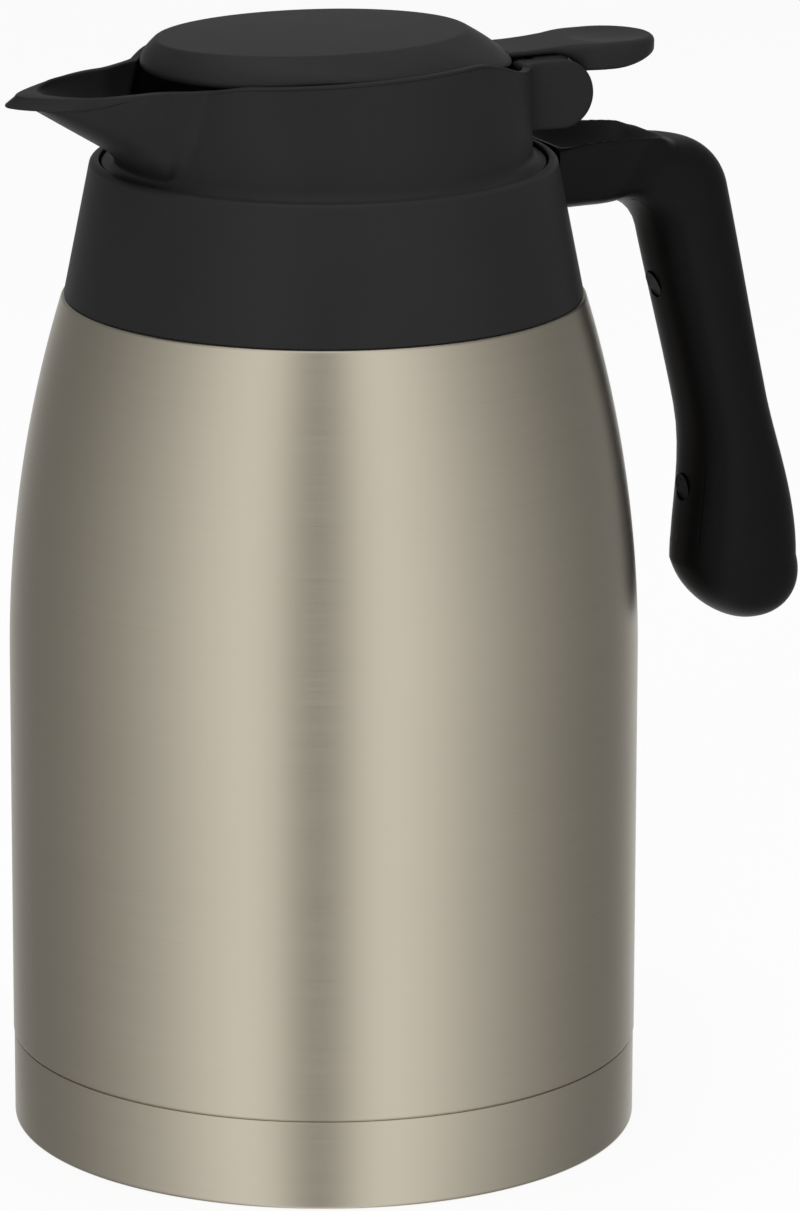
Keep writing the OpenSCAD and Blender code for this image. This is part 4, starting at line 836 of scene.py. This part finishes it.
# %% Riding and replacing
bodies = frame["record"]["behaviour"]["bodies"]
BODY_OF = {node: name for name, members in bodies.items() for node in members}
STANDS_FOR = SKINS | {node: [piece] for node, piece in copies.items()}
for node, pieces in STANDS_FOR.items():
    for piece in pieces:
        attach(piece, BODY_OF[node])
        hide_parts(node)
print("solids dressed:", len(STANDS_FOR))

# %% [markdown]
# ## A short way to write shader maths
# A material is a tree of nodes, and its formulas are hard to read as a list of links.
# Here a socket is wrapped so that ordinary arithmetic on it adds the Math nodes, and
# every other node is made by one method, with its settings set before its inputs.


# %% Shader helper
class Wire:
    """One output socket, on which + - and * add Math nodes."""

    def __init__(self, tree, socket):
        self.tree, self.socket = tree, socket

    def _math(self, operation, other):
        return self.tree.add("ShaderNodeMath", {"operation": operation}, {0: self, 1: other})

    def __add__(self, other):
        return self._math("ADD", other)

    def __sub__(self, other):
        return self._math("SUBTRACT", other)

    def __mul__(self, other):
        return self._math("MULTIPLY", other)

    def larger(self, other):
        return self._math("MAXIMUM", other)


class Tree:
    """A node tree, with the one method that makes its nodes."""

    def __init__(self, owner):
        owner.use_nodes = True
        self.nodes, self.links = owner.node_tree.nodes, owner.node_tree.links

    def add(self, kind, settings=None, values=None, output=0):
        node = self.nodes.new(kind)
        for key, value in (settings or {}).items():
            setattr(node, key, value)
        self.link(node, values or {})
        return Wire(self, node.outputs[output])

    def link(self, node, values):
        for key, value in values.items():
            if isinstance(value, Wire):
                self.links.new(value.socket, node.inputs[key])
            else:
                node.inputs[key].default_value = value

    def ray(self, kind):
        """1 for one kind of ray and 0 for the others."""
        return self.add("ShaderNodeLightPath", output=f"Is {kind} Ray")

    def glow(self, strength):
        """White light of a strength."""
        return self.add("ShaderNodeEmission", values={"Color": WHITE, "Strength": strength})


class Paint(Tree):
    """A material, whose constant values are given first and whose other values are fed."""

    def __init__(self, name, **finish):
        self.material = bpy.data.materials.new(name)
        super().__init__(self.material)
        self.shader = self.nodes["Principled BSDF"]
        self.feed(**finish)

    def feed(self, **values):
        """Sets or links the finish's own sockets, by their names."""
        self.link(self.shader, {key.replace("_", " "): value for key, value in values.items()})

    def show(self, wire):
        """Makes a shader of its own the surface."""
        self.link(self.nodes["Material Output"], {"Surface": wire})

    def place(self, scale):
        """Object coordinates in metres, times a scale on each axis."""
        source = self.add("ShaderNodeTexCoord", output="Object")
        return self.add("ShaderNodeMapping", values={"Vector": source, "Scale": scale})

    def noise(self, scale, detail=2.0, roughness=0.5, spread=(1, 1, 1)):
        """Cloudy noise from 0 to 1, with `scale` cells to the metre on each axis."""
        return self.add("ShaderNodeTexNoise", values={
            "Vector": self.place(tuple(scale * k for k in spread)), "Scale": 1.0,
            "Detail": detail, "Roughness": roughness})

    def between(self, factor, low, high):
        """A colour between two colours."""
        return self.add("ShaderNodeMix", {"data_type": "RGBA"},
                        {0: factor, 6: (*low, 1.0), 7: (*high, 1.0)}, output=2)

    def bump(self, height, distance):
        return self.add("ShaderNodeBump", values={"Height": height, "Distance": distance})


WHITE = (1.0, 1.0, 1.0, 1.0)


def linear(*srgb):
    """A colour as seen on a screen, 0 to 255, turned into the light that it stands for."""
    c = np.array(srgb) / 255.0
    return tuple(float(v) for v in np.where(c <= 0.04045, c / 12.92, ((c + 0.055) / 1.055) ** 2.4))


# %% [markdown]
# ## Brushed steel
# The body is turned against an abrasive belt, which leaves very fine lines that run
# round it, and it has a warm champagne tint under its clear finish. Noise that is
# stretched along the lines, short in height and long round the body, gives the lines
# their bump, their changes of roughness and a slight change of tone. Because the lines
# lie level, the bump spreads reflections up and down, which makes the soft upright
# bands of light that such a body shows.

# %% Steel
def brushed_steel(name, dark, light, line_depth, rough=(0.24, 0.36)):
    paint = Paint(name, Metallic=1.0)
    fine = paint.noise(1.0, detail=3.0, roughness=0.7, spread=(14, 14, 4200))
    broad = paint.noise(1.0, spread=(7, 7, 520))
    tone = fine * 0.6 + broad * 0.15 + paint.noise(18.0) * 0.25
    paint.feed(Base_Color=paint.between(tone, dark, light),
               Roughness=fine * (rough[1] - rough[0]) + broad * 0.02 + (rough[0] - 0.01),
               Normal=paint.bump(fine, line_depth))
    return paint


champagne = brushed_steel("brushed champagne steel", linear(188, 180, 163),
                          linear(200, 192, 175), line_depth=0.000006)
plain_steel = brushed_steel("plain steel", linear(150, 150, 148), linear(196, 196, 194),
                            line_depth=0.000004)
polished_steel = brushed_steel("electropolished steel", linear(190, 190, 188),
                               linear(214, 214, 212), line_depth=0.000003, rough=(0.12, 0.2))
black_steel = brushed_steel("blackened steel", linear(7, 7, 8), linear(11, 11, 12),
                            line_depth=0.000004, rough=(0.45, 0.55))

# %% [markdown]
# ## Black moulded plastic
# The collar, handle, stopper and lid are satin black mouldings: the tool's surface is
# spark eroded, which leaves a very fine grain that takes the shine off. A fine noise
# gives the grain's bump, and a slower one changes the shine a little, as handling does.


# %% Plastic
def moulded(name, dark, light, rough=0.48, level=0.16):
    """Grey moulding between two tones of 0 to 255, a hair bluer than neutral."""
    paint = Paint(name, Specular_IOR_Level=level)
    grit = paint.noise(2600.0, roughness=0.6)
    handled = paint.noise(55.0, detail=3.0)
    dark, light = linear(dark, dark, dark + 1), linear(light, light, light + 1)
    paint.feed(Base_Color=paint.between(grit * 0.5 + handled * 0.5, dark, light),
               Roughness=handled * 0.08 + grit * 0.06 + (rough - 0.07),
               Normal=paint.bump(grit, 0.00002))
    return paint


collar_black = moulded("satin black collar", 28, 36)
handle_black = moulded("satin black handle", 8, 14, rough=0.42, level=0.12)
stopper_black = moulded("satin black stopper", 26, 34)
lid_black = moulded("satin black lid", 28, 36)
inner_black = moulded("matt black inner moulding", 24, 32, rough=0.6)

# %% [markdown]
# ## Seals, foil and the rest
# The seals are silicone, slightly cloudy and matt. The inner vessel is wrapped in
# copper foil, which creases as it is laid, and the pellet beside it is pressed powder.


# %% Other finishes
silicone = Paint("cloudy silicone", Subsurface_Weight=0.25,
                 Subsurface_Radius=(0.002, 0.0018, 0.0015))
cloud, pale = silicone.noise(120.0, detail=3.0), linear(224, 222, 214)
silicone.feed(Base_Color=silicone.between(cloud, tuple(0.86 * v for v in pale), pale),
              Roughness=cloud * 0.12 + 0.46,
              Normal=silicone.bump(silicone.noise(3000.0), 0.00001))

foil = Paint("copper foil", Metallic=1.0)
crease = foil.add("ShaderNodeTexVoronoi", {"feature": "DISTANCE_TO_EDGE"},
                  {"Vector": foil.place((140, 140, 90)), "Scale": 1.0})
cloud = foil.noise(60.0)
foil.feed(Base_Color=foil.between(cloud, linear(168, 104, 66), linear(214, 146, 102)),
          Roughness=cloud * 0.12 + 0.16, Normal=foil.bump(crease, 0.0003))

powder = Paint("pressed grey powder")
grit = powder.noise(1800.0, detail=4.0, roughness=0.7)
powder.feed(Base_Color=powder.between(grit, linear(84, 84, 84), linear(128, 128, 126)),
            Roughness=grit * 0.2 + 0.7, Normal=powder.bump(grit, 0.00015))

foam = Paint("white foam")
cells = foam.add("ShaderNodeTexVoronoi", values={"Vector": foam.place((900, 900, 900)),
                                                 "Scale": 1.0})
foam.feed(Base_Color=foam.between(cells, linear(238, 234, 222), linear(206, 200, 184)),
          Roughness=cells * 0.1 + 0.78, Normal=foam.bump(cells, 0.0002))

# %% Give each piece its finish
FINISHES = {champagne: ["outer_shell", "base_shell"], collar_black: ["collar"],
            handle_black: ["handle_shell", "handle_cover"], stopper_black: ["stopper_body"],
            lid_black: ["lid_cover"], inner_black: ["neck_ring", "stopper_plug", "lid_liner"],
            polished_steel: ["inner_vessel"], black_steel: ["screw_upper", "screw_lower"],
            plain_steel: ["vent_seal", "hinge_pin", "hinge_spring"],
            silicone: ["neck_seal", "stopper_gasket", "lid_seal"], foil: ["vacuum_foil"],
            powder: ["getter"], foam: ["lid_puck"]}
for paint, dressed in FINISHES.items():
    for node in dressed:
        for piece in STANDS_FOR[node]:
            piece.data.materials.append(paint.material)
        for material_slot in nodes[node].material_slots:
            material_slot.material = paint.material
print("finishes:", len(FINISHES), "for", sum(len(dressed) for dressed in FINISHES.values()))

# %% [markdown]
# ## The studio
# The photograph is a cut-out on white, so the world is full white wherever the camera or
# a reflection looks at it, and gives less light to the pieces. The floor glows a little
# to the camera, to be as white, takes the soft shadow, and is not seen by reflections.
# A large light stands above and a smaller one on each side of the camera.

# %% World and floor
WORLD_LIGHT, FLOOR_HALF, FLOOR_TONE, FLOOR_GLOW = 0.3, 6.0, 0.86, 0.9

world = bpy.data.worlds.new("white room")
scene.world = world
sky = Tree(world)
seen = sky.ray("Camera").larger(sky.ray("Glossy").larger(sky.ray("Transmission")))
strength = sky.add("ShaderNodeMapRange", values={"Value": seen, "To Min": WORLD_LIGHT})
sky.link(sky.nodes["Background"], {"Color": WHITE, "Strength": strength})

floor_mesh = bpy.data.meshes.new("floor")
floor_mesh.from_pydata([(-FLOOR_HALF, -FLOOR_HALF, 0), (FLOOR_HALF, -FLOOR_HALF, 0),
                        (FLOOR_HALF, FLOOR_HALF, 0), (-FLOOR_HALF, FLOOR_HALF, 0)],
                       [], [(0, 1, 2, 3)])
sheet = bpy.data.objects.new("floor", floor_mesh)
scene.collection.objects.link(sheet)
card = Paint("white floor", Roughness=0.9, Base_Color=(FLOOR_TONE, FLOOR_TONE, FLOOR_TONE, 1.0))
card.show(card.add("ShaderNodeMixShader", values={
    0: card.ray("Camera") * FLOOR_GLOW, 1: Wire(card, card.shader.outputs[0]), 2: card.glow(1.0)}))
sheet.data.materials.append(card.material)
sheet.visible_glossy = False


# %% Soft lights
def soft_light(name, place, target, size, power):
    """An area light that faces the target and is not seen by reflections."""
    data = bpy.data.lights.new(name, "AREA")
    data.shape = "RECTANGLE"
    data.size, data.size_y = size
    data.energy = power
    lamp = bpy.data.objects.new(name, data)
    lamp.location = place
    lamp.visible_glossy = False
    x, y, z = np.array(target) - np.array(place)
    lamp.rotation_euler = (math.atan2(math.hypot(x, y), -z), 0, math.atan2(y, x) - math.pi / 2)
    scene.collection.objects.link(lamp)


soft_light("top light", (0.1, 0.1, 1.5), (0, 0, 0.1), (1.4, 1.4), 16.0)
soft_light("left light", (-1.0, -1.1, 0.7), (0, 0, 0.12), (0.7, 1.2), 11.0)
soft_light("right light", (0.9, -1.2, 0.5), (0, 0, 0.12), (0.6, 1.1), 5.0)

# %% [markdown]
# ## The light tent
# Steel shows little of its own: it shows what stands round it. In the photograph the
# body has two bright bands with a dark one between, and it fades toward both sides,
# which is a ring of soft boxes beside the camera with the dark camera between them. A
# tent of cloth, open at the top, holds that pattern: its brightness is a sum of wide
# and narrow lobes round the axis. Only reflections see it.

# %% Light tent
TENT_RINGS = np.array([[0.1, -0.5], [0.9, -0.4], [1.5, 0.1], [1.8, 1.0], [1.8, 2.0], [1.2, 2.7]])
FRONT, FRONT_WIDTH, FRONT_GLOW, DARK_WIDTH, DARK_GLOW = -117.0, 60.0, 1.2, 12.5, -1.15
BACK, BACK_WIDTH, TENT_GLOW = 62.0, 26.0, 0.16
FADE_FROM, FADE_TO, FADE_LOW, FADE_HIGH = -0.1, 0.5, 0.9, 0.1


def lobe(x, y, azimuth, width):
    """1 at an azimuth and falling to 1/e at `width` degrees from it: e to the power of
    k (cos(angle between) - 1), with k = 2 / width squared."""
    a, k = math.radians(azimuth), 2 / math.radians(width) ** 2
    return x.tree.add("ShaderNodeMath", {"operation": "POWER"},
                      {0: math.e, 1: (x * math.cos(a) + y * math.sin(a) - 1) * k})


turn = np.linspace(0, 2 * np.pi, 96, endpoint=False)
tent_r, tent_z = TENT_RINGS[:, :1], TENT_RINGS[:, 1:]
tent_grid = np.stack([tent_r * np.cos(turn), tent_r * np.sin(turn), tent_z + 0 * turn], axis=-1)
tent = make_skin("light_tent", tent_grid[:, ::-1] / MM)
cloth = Paint("tent cloth", Roughness=1.0)
source = cloth.add("ShaderNodeTexCoord", output="Object")
flat = cloth.add("ShaderNodeVectorMath", {"operation": "MULTIPLY"}, {0: source, 1: (1, 1, 0)})
way = cloth.add("ShaderNodeVectorMath", {"operation": "NORMALIZE"}, {0: flat})
x_way, y_way = (cloth.add("ShaderNodeSeparateXYZ", values={0: way}, output=k) for k in "XY")
height = cloth.add("ShaderNodeSeparateXYZ", values={0: source}, output="Z")
fade = cloth.add("ShaderNodeMapRange", values={
    "Value": height, "From Min": FADE_FROM, "From Max": FADE_TO,
    "To Min": FADE_LOW, "To Max": FADE_HIGH})
cloth.show(cloth.glow(lobe(x_way, y_way, FRONT, FRONT_WIDTH) * FRONT_GLOW
                      + lobe(x_way, y_way, FRONT, DARK_WIDTH) * DARK_GLOW
                      + lobe(x_way, y_way, BACK, BACK_WIDTH) * fade + TENT_GLOW))
tent.data.materials.append(cloth.material)
tent.visible_camera = False
tent.visible_diffuse = False
tent.visible_transmission = False
tent.visible_shadow = False
